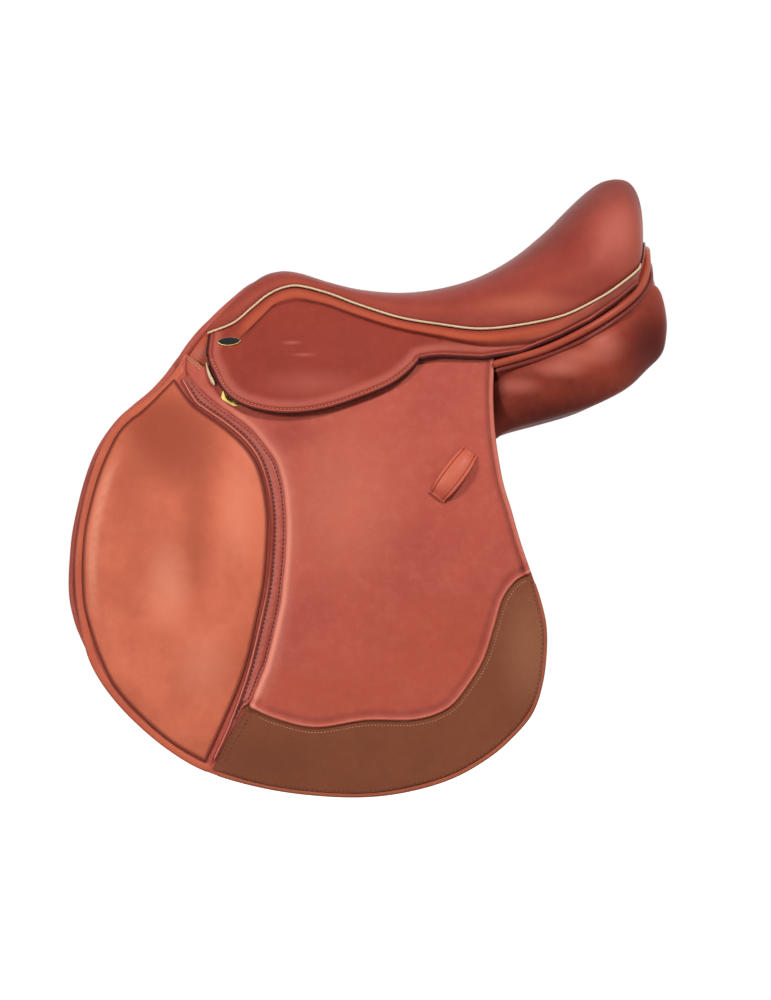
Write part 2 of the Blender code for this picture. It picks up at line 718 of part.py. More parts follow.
def make_slot():
    return prism("bar_slot", SLOT_OUTLINE)


def draped_strip(name, path, profile, half_width, thickness, finish):
    """A strap across the side: profile gives (share of the path, offset of its middle)."""
    start, end = np.array(path[0], float), np.array(path[1], float)
    ahead = (end - start) / np.linalg.norm(end - start)
    across = np.array((ahead[1], -ahead[0]))
    rings = []
    for share, offset in profile:
        middle = start + (end - start) * share
        ring = []
        for side, lift in ((-1, -0.5), (-1, 0.5), (1, 0.5), (1, -0.5)):
            x, z = middle + across * half_width * side
            ring.append(near(x, side_width(x, z) + offset + lift * thickness, z))
        rings.append(ring)
    return add_part(name, loft(name, rings), finish)


def make_keeper(name):
    steps = 12
    profile = []
    for k in range(steps + 1):
        share = k / steps
        lift = max(0.0, 1.0 - ((share - 0.5) / 0.36) ** 2)
        profile.append((share, 5.6 + 9.0 * lift ** 0.7))
    return draped_strip(name, KEEPER_PATH, profile, 9.5, 2.0, "flap_leather")


def bar_point(x, z, offset):
    return near(x, bar_width(x, z) + offset, z)


def bar_normal():
    a = bar_point(BAR_X, BAR_Z, 0)
    ahead = bar_point(BAR_X + 10, BAR_Z, 0) - a
    up = bar_point(BAR_X, BAR_Z + 10, 0) - a
    return ahead.cross(up).normalized()


def on_normal(x, z, base, offset):
    """Where the bar's normal through (x, z) on the plane at base meets the plane at offset."""
    normal = bar_normal()
    return bar_point(x, z, base) - normal * normal.y * (offset - base) * MM


def round_peg(name, start, end, radius):
    """A round peg or cutter between two points."""
    bm = bmesh.new()
    bmesh.ops.create_cone(bm, cap_ends=True, segments=16, radius1=radius * MM, radius2=radius * MM,
                          depth=(end - start).length)
    turn = Vector((0, 0, 1)).rotation_difference((end - start).normalized()).to_matrix().to_4x4()
    bmesh.ops.transform(bm, matrix=turn, verts=bm.verts)
    bmesh.ops.translate(bm, vec=(start + end) / 2, verts=bm.verts)
    return mesh_from(bm, name)


def bar_peg(name, place, base, start, end, radius):
    x, z = place
    return round_peg(name, on_normal(x, z, base, start), on_normal(x, z, base, end), radius)


def make_bar(name):
    """The forged bar: rivet plate, front arm, open rail with a fork and pin for the catch."""
    obj = sheet(name, BAR_PLATE_OUTLINE, BAR_PLATE, "steel", bar_width, grid=FLAT_GRID)
    pieces = (("bar_arm", BAR_ARM_OUTLINE, BAR_ARM), ("bar_rail", BAR_RAIL_OUTLINE, BAR_RAIL))
    for stem, outline, layer in pieces:
        piece = cutter(stem, slab(stem, outline, *layer, bar_width, FLAT_GRID))
        boolean(piece, "INTERSECT", prism(stem + "_outline", outline))
        if stem == "bar_rail":
            slot = cutter("fork_slot", slab("fork_slot", FORK_SLOT_OUTLINE, *FORK_SLOT, bar_width, FLAT_GRID))
            boolean(slot, "INTERSECT", prism("fork_slot_outline", FORK_SLOT_OUTLINE))
            boolean(piece, "DIFFERENCE", slot)
        boolean(obj, "UNION", piece)
    pin = bar_peg("catch_pin", CATCH_PIVOT, -5.0, -7.5, -2.5, 1.6)
    boolean(obj, "UNION", cutter("catch_pin", pin))
    for i, place in enumerate(RIVETS):
        hole = bar_peg(f"rivet_hole_{i}", place, -21.5, -27.0, -20.0, 2.6)
        boolean(obj, "DIFFERENCE", cutter(f"rivet_hole_{i}", hole))
    return obj


def make_rivet(place):
    def make(name):
        obj = add_part(name, bar_peg(name, place, -21.5, -21.0, -19.4, 4.4), "steel")
        shank = bar_peg(name + "_shank", place, -21.5, -25.4, -20.5, 2.2)
        boolean(obj, "UNION", cutter(name + "_shank", shank))
        return obj
    return make


def make_catch(name):
    """The safety catch: a tab with a round eye on the fork's pin."""
    px, pz = CATCH_PIVOT
    arc = [(px + 5.6 * math.cos(a), pz + 5.6 * math.sin(a))
           for a in np.radians(np.arange(90, 271, 22.5))]
    outline = arc + [(-40, 47.4), (-36.5, 50), (-36.5, 56), (-40, 58.6)]
    hole = bar_peg("catch_eye", CATCH_PIVOT, -5.0, -9.0, -1.0, 2.0)
    return sheet(name, outline, CATCH, "steel", bar_width, cuts=(cutter("catch_eye", hole),), grid=FLAT_GRID)


def dee_frame():
    """Top middle of the front dee, its bar's direction and the way it hangs."""
    x, z = DEE_CENTRE[0], DEE_CENTRE[1] + DEE_DROP / 2
    top = near(x, side_width(x, z) + DEE_BAR_OFFSET, z)
    left = near(x - 10, side_width(x - 10, z) + DEE_BAR_OFFSET, z)
    tip_z = z - DEE_DROP
    tip = near(x, side_width(x, tip_z) + DEE_TIP_OFFSET, tip_z)
    bar = (top - left).normalized()
    drop = tip - top
    return top, bar, (drop - bar * drop.dot(bar)).normalized()


def make_dee(name):
    top, bar, down = dee_frame()
    points = [top - bar * DEE_HALF * MM, top + bar * DEE_HALF * MM]
    for angle in np.radians(np.arange(0, 181, 22.5)):
        along = DEE_HALF * math.cos(angle)
        drop = DEE_SIDE + (DEE_DROP - DEE_SIDE) * math.sin(angle)
        points.append(top + bar * along * MM + down * drop * MM)
    return tube(name, points, DEE_WIRE, "brass", 1, closed=True)


def make_chape(name):
    """Leather tab sewn to the flap's top, with its loop round the dee's bar."""
    top, bar, down = dee_frame()
    outline = ((-179, 54.5), (-179, 74), (-163, 74), (-163, 54.5))
    obj = sheet(name, outline, CHAPE, "flap_leather", grid=FLAT_GRID,
                width=lambda x, z: side_width(-171, 56) + 0.07 * (x + 171) + 0.42 * (56 - z))
    loop = round_peg("chape_loop", top - bar * 8 * MM, top + bar * 8 * MM, CHAPE_LOOP_RADIUS)
    boolean(obj, "UNION", cutter("chape_loop", loop))
    bore = round_peg("chape_bore", top - bar * 12 * MM, top + bar * 12 * MM, CHAPE_BORE_RADIUS)
    boolean(obj, "DIFFERENCE", cutter("chape_bore", bore))
    return obj


def make_billet(centre):
    def make(name):
        half = BILLET_WIDTH / 2
        outline = ((centre - half, BILLET_TOP), (centre + half, BILLET_TOP),
                   (centre + half, BILLET_TIP + 18), (centre + half * 0.45, BILLET_TIP + 3),
                   (centre, BILLET_TIP), (centre - half * 0.45, BILLET_TIP + 3),
                   (centre - half, BILLET_TIP + 18))
        return sheet(name, outline, BILLET, "flap_leather")
    return make


def make_guard(name):
    """The buckle guard: one flat sleeve with a window for each girth strap."""
    first, last = BILLET_X[0] - 19.0, BILLET_X[-1] + 19.0
    outline = ((first, GUARD_TOP), (last, GUARD_TOP), (last, GUARD_BOTTOM + 8),
               (last - 8, GUARD_BOTTOM), (first + 8, GUARD_BOTTOM), (first, GUARD_BOTTOM + 8))
    cuts = []
    for i, centre in enumerate(BILLET_X):
        window = ((centre - 15.2, GUARD_TOP + 20), (centre + 15.2, GUARD_TOP + 20),
                  (centre + 15.2, GUARD_BOTTOM - 20), (centre - 15.2, GUARD_BOTTOM - 20))
        stem = f"guard_window_{i}"
        cut = cutter(stem, slab(stem, window, GUARD_WINDOW[0], GUARD_WINDOW[1]))
        boolean(cut, "INTERSECT", prism(stem + "_outline", window))
        cuts.append(cut)
    return sheet(name, outline, GUARD, "flap_leather", cuts=cuts)


def make_front_roll(name):
    points = [near(x, side_width(x, z) - 15.0, z) for x, z in smooth_through(FRONT_ROLL, 2)]
    return tube(name, points, 4.0, "flap_leather", 1)


def make_sweat_flap(name):
    front = inset_path(FRONT_ROLL, 5.0)[::-1]
    outline = list(SWEAT_REST) + [tuple(p) for p in front[1:]]
    return sheet(name, outline, SWEAT_FLAP, "flap_leather")


def build_sides():
    slot = make_slot()
    parts = {}

    def both(stem, make):
        parts[stem] = near_and_off(stem, make)

    both("skirt_band", make_band)
    both("skirt", lambda n: sheet(n, SKIRT_OUTLINE, SKIRT, "flap_leather"))
    both("nail_plate", make_nail_plate)
    both("stirrup_bar", make_bar)
    both("bar_rivet_front", make_rivet(RIVETS[0]))
    both("bar_rivet_rear", make_rivet(RIVETS[1]))
    both("bar_catch", make_catch)
    both("flap", lambda n: sheet(n, FLAP_OUTLINE, FLAP, "flap_leather", cuts=(slot,)))
    knee = crown(KNEE_OUTLINE, 5.4, 10.4, 22.0)
    both("knee_pad", lambda n: sheet(n, KNEE_OUTLINE, (4.3, knee), "knee_leather", grid=FINE_GRID))
    both("flap_welt", lambda n: sheet(n, WELT_OUTLINE, WELT, "flap_leather"))
    both("flap_patch", lambda n: sheet(n, PATCH_OUTLINE, FLAP_TRIM, "patch_leather"))
    both("keeper_loop", make_keeper)
    both("dee_chape", make_chape)
    both("front_dee", make_dee)
    both("sweat_flap", make_sweat_flap)
    both("front_roll", make_front_roll)
    block = crown(KNEE_BLOCK_OUTLINE, -10.0, -2.2, 16.0)
    both("knee_block", lambda n: sheet(n, KNEE_BLOCK_OUTLINE, (-15.0, block), "knee_leather", grid=FINE_GRID))
    for i, centre in enumerate(BILLET_X):
        both(f"billet_{i + 1}", make_billet(centre))
    both("buckle_guard", make_guard)
    both("panel", make_panel)
    both("point_pocket", lambda n: sheet(n, POCKET_OUTLINE, POCKET, "flap_leather"))
    both("spring_steel", make_spring_steel)
    return parts


def empty_at(name, place):
    holder = bpy.data.objects.new(name, None)
    PARTS.objects.link(holder)
    holder.empty_display_size = 0.03
    holder.location = place
    return holder


def hang(pair, stem, place, parents=(None, None)):
    """Puts an empty on the joint's axis on each side and hangs the pieces on it."""
    holders = []
    for index, side in enumerate(("near", "off")):
        spot = Vector(place)
        if side == "off":
            spot.y = -spot.y
        holder = empty_at(f"{stem}_{side}", spot)
        if parents[index]:
            holder.parent = parents[index]
            holder.matrix_parent_inverse = parents[index].matrix_world.inverted()
        bpy.context.view_layer.update()
        for pieces in pair:
            pieces[index].parent = holder
            pieces[index].matrix_parent_inverse = holder.matrix_world.inverted()
        holders.append(holder)
    return holders


def hang_parts(parts):
    hinge = near(-60, hinge_width(-60) + HINGE_OFFSET, HINGE_Z)
    on_flap = ("flap", "knee_pad", "flap_welt", "flap_patch", "keeper_loop", "dee_chape")
    flaps = hang([parts[stem] for stem in on_flap], "flap_hinge", hinge)
    hang([parts["skirt"]], "skirt_hinge", hinge, flaps)
    hang([parts["front_dee"]], "dee_hinge", dee_frame()[0], flaps)
    hang([parts["bar_catch"]], "catch_hinge", bar_point(*CATCH_PIVOT, CATCH[0] / 2 + CATCH[1] / 2))
    for i, centre in enumerate(BILLET_X):
        pivot = near(centre, side_width(centre, BILLET_PIVOT_Z) - 8.2, BILLET_PIVOT_Z)
        holders = hang([parts[f"billet_{i + 1}"]], f"billet_{i + 1}_pivot", pivot)
        if i == 1:
            middle = holders
    guard_z = (GUARD_TOP + GUARD_BOTTOM) / 2
    hang([parts["buckle_guard"]], "guard_slide",
         near(BILLET_X[1], side_width(BILLET_X[1], guard_z) - 8.2, guard_z), middle)


make_tree()
make_head_steels()
make_webs()
make_seat()
make_rolls()
make_gusset()
hang_parts(build_sides())
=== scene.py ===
"""Looks of the all-purpose riding saddle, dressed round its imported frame.

Shapes are worked out in millimetres on the near side, as (x, width, z), where width is the
distance from the middle plane, and become metres when a mesh is made. The off side mirrors
the near side. The outlines and surfaces repeat the part's own.
"""
import math

import bpy
import numpy as np
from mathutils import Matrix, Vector
from mathutils.geometry import delaunay_2d_cdt


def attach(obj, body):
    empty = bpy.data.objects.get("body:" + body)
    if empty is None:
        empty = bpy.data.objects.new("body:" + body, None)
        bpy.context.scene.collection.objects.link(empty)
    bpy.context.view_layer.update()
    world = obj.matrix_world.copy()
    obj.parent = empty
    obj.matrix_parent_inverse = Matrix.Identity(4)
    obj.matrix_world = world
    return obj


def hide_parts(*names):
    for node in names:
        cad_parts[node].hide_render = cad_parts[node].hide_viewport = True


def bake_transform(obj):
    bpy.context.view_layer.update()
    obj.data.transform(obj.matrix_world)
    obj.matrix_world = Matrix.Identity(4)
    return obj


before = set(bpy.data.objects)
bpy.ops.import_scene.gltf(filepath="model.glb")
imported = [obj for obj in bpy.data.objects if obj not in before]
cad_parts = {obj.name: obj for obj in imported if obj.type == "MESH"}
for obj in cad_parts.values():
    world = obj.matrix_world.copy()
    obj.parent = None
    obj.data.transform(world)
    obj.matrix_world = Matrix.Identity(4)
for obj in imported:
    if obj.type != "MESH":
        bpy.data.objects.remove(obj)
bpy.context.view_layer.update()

MM = 0.001
SIDES = ("near", "off")
FINE_STITCH = {"pitch": 2.6, "length": 1.9}
BOLD_STITCH = {"pitch": 4.2, "length": 2.6}
# From the near side to the off side
FLIP = np.array((1.0, -1.0, 1.0))
# Points that a distance is measured for at a time
BLOCK = 2000

# The hinge line of the flaps, at the skirt's outer face
HINGE_Z = 80.5
HINGE_OFFSET = 14.5
HINGE_WIDTH = 96.0
HINGE_WIDTH_X = -105.0
HINGE_SPLAY = 0.07

# Straps
BILLET_X = (-15.0, 20.0, 55.0)
BILLET_WIDTH = 25.0
BILLET_TOP = 96.0
BILLET_TIP = -236.0
GUARD_TOP = -58.0
GUARD_BOTTOM = -128.0

# Layers on the side: how far their inner and outer faces lie outside the flap's inner face
FLAP_LAYER = (0.0, 4.0)
ON_FLAP = 4.2
PATCH_FACE = 5.6
SKIRT_BACK = 11.0
CHAPE_LAYER = (4.4, 6.4)
FLAP_FACE_LAYER = (4.1, 6.4)
WELT_FACE = 6.2
KNEE_SEAM = 5.9
BILLET_LAYER = (-9.8, -6.6)
GUARD_FRONT = (-4.7, -3.1)
GUARD_BACK = (-13.4, -12.0)
KNEE_BLOCK_LAYER = (-15.0, -10.0)
SWEAT_LAYER = (-18.2, -15.3)
FRONT_ROLL_MIDDLE = -15.0
FRONT_ROLL_RADIUS = 4.3
POCKET_LAYER = (-24.3, -22.3)

# Front dee
DEE_CENTRE = (-171.0, 45.0)
DEE_DROP = 19.0
# Half width, straight side, drop of the ring's middle line and its shift along the bar
DEE_LOOK = (6.6, 9.0, 23.8, 3.4)
DEE_WIRE = 1.4
# How much broader the wire is where the dee hangs out
DEE_FLARE = 4.6
DEE_SIDES = 16
DEE_BAR_OFFSET = 7.5
DEE_TIP_OFFSET = 6.0

# Seat seam on the near side, front to back: (x, width, z)
RIM = (
    (-192, 86, 102.5), (-169, 81.5, 112), (-152, 73, 127), (-137, 64.5, 140),
    (-121, 59, 148), (-103, 59, 150), (-74, 70, 142), (-44, 82, 130),
    (-5, 94, 117), (33, 104, 110), (71, 114, 105), (109, 123, 108),
    (148, 128, 116), (176, 125, 129), (201, 113, 145), (226, 88, 167),
    (234, 45, 190), (237, 0, 198),
)
SEAM_END = 17.0
# Middle line of the seat, a point for each point of the seam: (x, z)
SPINE = (
    (-145, 158.5), (-141, 161), (-136, 164.5), (-129, 167),
    (-117, 168), (-101, 165), (-74, 156), (-44, 149),
    (-5, 146), (33, 150), (71, 161), (106, 180),
    (138, 206), (160, 228), (178, 245), (193, 256),
    (205, 260), (214, 260),
)
FULLNESS = (1.6, 1.8, 2.0, 2.2) + (2.4,) * 12 + (2.7, 3.0)
# Lower edge of the fixed skirt behind the hinge line: (seam point, x, width, z)
BAND_REAR = (
    (8.6, 22, 119.4, 76.5), (9, 34, 119, 77.5), (10, 73, 121, 75.5), (11, 110, 125, 81),
    (12, 148, 128.5, 96.5), (13, 177, 125, 111), (14, 203, 111, 129.5), (15, 225.5, 88, 148.5),
    (16, 236, 46, 178), (16.5, 238.3, 24, 187.8), (17, 239, 0, 191),
)
BAND_FRONT_X = (-193, -170, -150, -132, -116, -99, -72, -43, -6)
BAND_SPLIT = 8.4
# Up to here the band reaches the hinge line in the side's slope
BAND_HANG_T = 9
BAND_HANG = (0.0, 0.547, -1.0)
BAND_REAR_T = 15.0
BAND_END = 16.95
# The piping: radius, distance outside the seam, and where its end sinks in
PIPING_RADIUS = 1.1
PIPING_OUT = 2.5
PIPING_END_T = 14.9
# The crease under the rolled strip along the piping: (x, drop below the seam, strength)
CREASE = (
    (-172, 26, 0), (-156, 20, 1), (-132, 13, 1), (-112, 14, 1), (-74, 11.5, 1), (-5, 10.5, 1),
    (34, 12, 1), (87, 15, 1), (131, 17, 1), (150, 14, 0.8), (180, 10, 0.25), (192, 8, 0),
)

# Outlines of the side's layers: (x, z)
FLAP_OUTLINE = (
    (-215, 82.5), (-205, 77), (-196, 69.5), (-190, 70), (-185, 79.5), (86, 79.5), (84, 50),
    (84, 26), (86, -3), (92, -41), (100, -69),
    (108, -98), (118, -128), (126, -151), (132, -178), (132, -206),
    (128, -234), (119, -260), (102, -281), (79, -301), (46, -320), (8, -332),
    (-34, -338), (-81, -337), (-132, -330), (-186, -315), (-224, -294), (-258, -266),
    (-283, -238), (-299, -211), (-306.5, -183), (-312, -155), (-314, -126), (-312.3, -95),
    (-305, -52), (-292, -11), (-274.5, 17), (-243.5, 41.7), (-229.5, 56), (-221, 68),
)
FLAP_CORNERS = (0, 2, 3, 4, 5)
FLAP_REAR = slice(5, 13)
FLAP_RIM_START = 12
KNEE_OUTLINE = (
    (-223.5, 57.5), (-251.5, 28), (-265.5, 16.8), (-277, 3.3), (-289.5, -23.7), (-296.5, -45),
    (-301.5, -65), (-306, -89.5), (-307.5, -118), (-306.5, -146), (-304, -164), (-295.5, -192),
    (-290, -206), (-276, -234), (-252, -261), (-220, -288), (-188, -306), (-173, -273),
    (-158, -238), (-147.5, -206), (-139.5, -168.8), (-134, -140.3), (-131.5, -111.6), (-130.5, -82.8),
    (-132, -63.5), (-134.7, -48), (-139.8, -30.5), (-147, -16.8), (-158.8, -3.1), (-175, 10.8),
    (-194.8, 24.7), (-206.6, 34.5),
)
KNEE_CORNERS = (0, 16)
PATCH_OUTLINE = (
    (118, -128), (103, -136), (90.5, -153), (82, -180), (72, -210), (56, -236),
    (38, -255.5), (8, -265.5), (-38, -266), (-85, -272.5), (-123, -264), (-149, -252),
    (-158, -268), (-170, -289), (-181, -312), (-132, -326), (-81, -333), (-34, -334),
    (8, -327), (44, -316), (77, -297), (100, -277), (116, -256), (125, -233),
    (129, -206), (129, -178), (123, -151),
)
PATCH_CORNERS = (0, 11, 14)
PATCH_TOP = 12
PATCH_FOOT = 14
WELT_LEFT = (
    (-217, 56.5), (-203.5, 34.8), (-193, 26.2), (-173.2, 12.6), (-157, -1), (-145, -15),
    (-137.6, -29.7), (-132.4, -47.6), (-129.7, -63.5), (-128.3, -83), (-129.2, -111.6), (-131.7, -140.5),
    (-137.2, -169), (-146.7, -210), (-155, -238), (-168, -273), (-182, -303),
)
WELT_RIGHT = (
    (-178, -305), (-164, -277), (-154, -256), (-145, -248), (-136, -226), (-129.7, -210),
    (-118.7, -163.6), (-115.6, -140), (-113, -110), (-112.7, -79), (-115.8, -48.4), (-122.4, -25.4),
    (-130.8, -12.2), (-147.5, 7.7), (-164.5, 21), (-181.2, 32.7), (-198.2, 48), (-208, 62),
)
WELT_CORNERS = (0, 16, 17, 34)
# Front edge of the flap's face, along the welt, and its corner above the hinge line
FACE_FRONT = (
    (-211.5, 80.5), (-211.5, 63), (-200, 48), (-183.2, 32.7), (-166.5, 21), (-149.5, 7.7),
    (-132.8, -12.2), (-124.4, -25.4), (-117.8, -48.4), (-114.7, -79), (-115, -110), (-117.6, -140),
    (-120.7, -163.6), (-131.7, -210.3), (-138, -228), (-147, -250),
)
FACE_TOP = ((85.5, 79), (-185.5, 79), (-190.3, 69.2), (-196, 68.7), (-205, 75.8))
SKIRT_EDGE = (
    (-191.5, HINGE_Z), (-191, 74), (-186, 63), (-178, 48), (-165, 35), (-144, 26),
    (-115, 22), (-82, 25), (-49, 35), (-15, 49), (4, 63), (14, 74.5), (14.2, HINGE_Z),
)
FRONT_ROLL = (
    (-300, -206), (-312.5, -171.5), (-317.4, -145.8), (-316.8, -110.7), (-314, -84), (-305, -42.7),
    (-293.8, -11.8), (-277.2, 13.5), (-261, 29), (-245, 42.8), (-231, 58.6), (-220.3, 74), (-211, 86),
)
SWEAT_REST = (
    (-290, -221), (-252, -259), (-195, -291), (-138, -310), (-72, -320), (-6, -313),
    (41, -290), (70, -254), (79, -202), (76, -136), (71, -60), (68, -2), (60, 18),
    (40, 24), (-165, 24), (-180, 42), (-204, 72),
)
KNEE_BLOCK_OUTLINE = (
    (-205, 44), (-236, 20), (-262, -8), (-280, -45), (-288, -90), (-286, -130),
    (-270, -140), (-258, -120), (-254, -80), (-244, -40), (-224, -10), (-200, 14),
    (-192, 32),
)
POCKET_OUTLINE = ((-206, 40), (-160, 40), (-162, 14), (-178, 6), (-198, 14))
SLOT_OUTLINE = ((-150, 64), (-62, 64), (-62, 37), (-144, 37))
KEEPER_PATH = ((29, -57), (61, -14))

# Panel sections: x, then (width, z) outside top to bottom, then inside bottom to top
PANEL = (
    (-206, (60, 40), (82, 10), (112, -50), (122, -90), (112, -92), (92, -50), (66, 10), (52, 34)),
    (-196, (54, 62), (74, 26), (122, -60), (136, -124), (116, -128), (96, -60), (52, 20), (34, 56)),
    (-150, (50, 76), (74, 30), (125, -60), (142, -140), (122, -146), (100, -60), (54, 24), (34, 66)),
    (-90, (50, 82), (77, 38), (125, -60), (143, -146), (123, -152), (100, -60), (56, 30), (32, 72)),
    (-50, (52, 84), (78, 40), (124, -56), (141, -140), (122, -146), (98, -58), (57, 32), (32, 74)),
    (-20, (60, 86), (88, 44), (123, -50), (139, -130), (120, -136), (98, -52), (58, 34), (32, 76)),
    (40, (66, 84), (92, 62), (106, 20), (126, -60), (108, -66), (90, 0), (58, 36), (32, 72)),
    (80, (70, 82), (108, 66), (116, 32), (112, -7), (96, -4), (76, 16), (54, 36), (32, 68)),
    (100, (72, 81), (126, 73), (131, 45), (112, 5), (92, 9), (72, 20), (50, 34), (32, 64)),
    (140, (72, 94), (132, 86), (138, 57), (116, 15), (92, 17), (70, 28), (50, 42), (32, 76)),
    (184, (70, 116), (129, 107), (136, 78), (112, 28), (90, 31), (68, 45), (48, 60), (32, 94)),
    (216, (62, 140), (106, 118), (119, 91), (102, 45), (82, 47), (62, 61), (46, 80), (34, 112)),
    (238, (48, 169), (76, 142), (95, 113), (86, 68), (70, 70), (56, 82), (44, 100), (34, 130)),
    (257, (44, 152), (62, 137), (77, 113), (73, 84), (62, 85), (54, 93), (48, 106), (40, 122)),
)
ROLL_RADII = (3.7, 2.3)
ROLL_UPPER = (
    (86.5, 121, 70.5), (124, 126.5, 80.8), (150, 127, 91.3), (177.5, 123, 105.9), (205.6, 107, 124.4),
    (225, 86, 142.5), (236, 60, 164), (239, 32, 182), (240.5, 0, 190),
)
ROLL_LOWER = (
    (88, 121.5, 64.2), (124, 127, 74.2), (150.5, 128, 84), (177.5, 124.5, 97.2), (205.4, 109, 115.8),
    (225.5, 88, 132.5), (239.5, 62, 152), (242.5, 34, 168), (243.5, 0, 176),
)
# Where the lining starts behind the fixed skirt, and where the back leather merges with the panel:
# (x, width, z), a point for each point of the rolls; and how far the back leather stands out
LINING_TOP = (
    (87, 116, 80), (122, 121, 90), (148, 123, 101), (175, 119, 116), (201, 103, 138),
    (220, 82, 160), (231, 58, 178), (236, 30, 192), (238, 0, 196),
)
PANEL_CREST = (
    (89, 112, 50), (124, 119, 60), (151, 121, 68), (182, 117, 86), (213, 99, 108),
    (237, 74, 128), (247, 50, 130), (247, 34, 126), (246, 0, 130),
)
BACK_BULGE = (0.5, 1.0, 1.5, 1.5, 2.0, 2.5, 3.0, 3.0, 2.0)
# Rolled edge of the pommel arch, from behind the front roll up to the middle: (x, width, z)
FACING_RADIUS = 4.4
FACING = (
    (-224, 78, 67), (-217.5, 84, 76.2), (-208.9, 86, 88.8), (-198.4, 83, 102.1), (-188.7, 76, 112.5),
    (-178.9, 65, 123.5), (-166.1, 50, 136.5), (-154.3, 29, 148.4), (-146.3, 0, 154.4),
)
SEAT_FRONT_DIP = np.array((4.4, 0.0, -5.6))
# Side of the head, behind the skirt's front edge: (x, width, z), a point for each point of the facing
HEAD_SIDE = (
    (-200, 90, 58), (-192, 92, 64), (-187, 93, 76), (-184, 90.5, 90), (-182, 84, 102),
)
# Underside of the pommel arch, a point for each point of the facing from the third: (x, width, z)
ARCH_BACK = (
    (-178, 79, 82), (-174, 75, 94), (-168, 68, 104), (-160, 57, 114), (-152, 42, 124),
    (-144, 20, 134), (-138, 0, 138),
)


def srgb(red, green, blue):
    """The linear colour of an 8-bit display colour."""
    return tuple(((c / 255 + 0.055) / 1.055) ** 2.4 for c in (red, green, blue))


RED = srgb(178, 82, 67)
RED_DARK = srgb(142, 56, 46)
# Wear colour, also the colour of painted highlights on the seat and the keeper
RED_WEAR_AND_HIGHLIGHT = srgb(206, 116, 92)
SEAT = srgb(152, 64, 53)
SEAT_DARK = srgb(112, 42, 36)
# Wear colour of the seat, also the colour of its painted highlight near the seam
SEAT_WEAR_AND_HIGHLIGHT = srgb(196, 100, 74)
TAN = srgb(211, 112, 82)
TAN_DARK = srgb(160, 74, 52)
# Wear colour of the knee pad, also the colour of its painted highlights
TAN_WEAR_AND_HIGHLIGHT = srgb(226, 142, 114)
TAN_DEEP = srgb(136, 60, 44)
BROWN = srgb(126, 69, 45)
BROWN_DARK = srgb(98, 54, 38)
BROWN_WORN = srgb(152, 98, 72)
RED_DEEP = srgb(96, 34, 28)
PINK = srgb(204, 112, 96)
PINK_PALE = srgb(238, 150, 128)
RED_BROWN = srgb(172, 76, 52)
ORANGE = srgb(204, 96, 62)
PANEL_RED = srgb(160, 66, 48)
PANEL_DARK = srgb(82, 28, 24)
# Wear colour of the panel, also the colour of its painted highlights
PANEL_WEAR_AND_HIGHLIGHT = srgb(200, 112, 94)
CREAM = srgb(226, 198, 158)
THREAD = srgb(84, 28, 24)
THREAD_BROWN = srgb(186, 144, 116)
THREAD_PALE = srgb(206, 140, 104)


# Curves and distances

def unit(vector):
    return vector / np.linalg.norm(vector)


def unit_rows(vectors):
    return vectors / np.linalg.norm(vectors, axis=1)[:, None]


def bell(value, centre, width):
    """1 where the value is at the centre, falling smoothly to 0 on both sides."""
    return np.exp(-((value - centre) / width) ** 2)


def between(p, t):
    """The point at t, from 0 to 1, between the middle two of four points on a smooth curve."""
    return 0.5 * (2 * p[1] + (p[2] - p[0]) * t
                  + (2 * p[0] - 5 * p[1] + 4 * p[2] - p[3]) * t * t
                  + (3 * p[1] - p[0] - 3 * p[2] + p[3]) * t ** 3)


def smooth_through(points, per_span, closed=False):
    """A Catmull-Rom curve through the points, with per_span steps between neighbours."""
    points = np.array(points, float)
    count = len(points)
    made = []
    for i in range(count if closed else count - 1):
        around = range(i - 1, i + 3)
        p = [points[k % count if closed else min(max(k, 0), count - 1)] for k in around]
        made += [between(p, step / per_span) for step in range(per_span)]
    if not closed:
        made.append(points[-1])
    return np.array(made)


def at(points, t):
    """The point at t of a smooth curve with control points at 0, 1, 2 ..., level at the middle plane."""
    points = np.array(points, float)
    last = len(points) - 1
    t = min(max(t, 0.0), last)
    i = min(int(t), last - 1)
    p = [points[min(max(i + k, 0), last)] for k in (-1, 0, 1, 2)]
    if i + 2 > last:
        p[3] = points[last - 1] * (FLIP if points.shape[1] == 3 else 1.0)
    return between(p, t - i)


def near_curve(points, per_span):
    """A smooth near-side curve of (x, width, z) that ends level on the middle plane."""
    beyond = tuple(np.array(points[-2]) * FLIP)
    return smooth_through(list(points) + [beyond], per_span)[:-per_span]


def run_along(path):
    """How far along the path each of its points lies."""
    return np.concatenate([[0.0], np.cumsum(np.linalg.norm(np.diff(path, axis=0), axis=1))])


def looked_up(places, run, values):
    """The rows of values at these places of the run."""
    return np.stack([np.interp(places, run, column) for column in values.T], axis=1)


def evenly(path, step):
    """An open path resampled at about this step, ends kept."""
    path = np.array(path, float)
    run = run_along(path)
    places = np.linspace(0.0, run[-1], max(int(round(run[-1] / step)), 1) + 1)
    return looked_up(places, run, path)


def rounded(outline, corners, step=3.0):
    """A closed outline as a smooth curve that keeps its corners, at an even step."""
    outline = list(outline)
    if not corners:
        return closed_evenly(smooth_through(outline, 12, closed=True), step)
    count = len(outline)
    made = []
    for first, last in zip(corners, list(corners[1:]) + [corners[0] + count]):
        span = [outline[i % count] for i in range(first, last + 1)]
        made.append(evenly(smooth_through(span, 12), step)[:-1])
    return np.vstack(made)


def closed_evenly(loop, step):
    """A closed loop resampled at about this step."""
    return evenly(np.vstack([loop, loop[:1]]), step)[:-1]


def turns(count):
    """Angles evenly round a circle."""
    return np.linspace(0, 2 * math.pi, count, endpoint=False)


def loop_ahead(loop):
    """Unit vectors along a closed loop."""
    return unit_rows(np.roll(loop, -1, axis=0) - np.roll(loop, 1, axis=0))


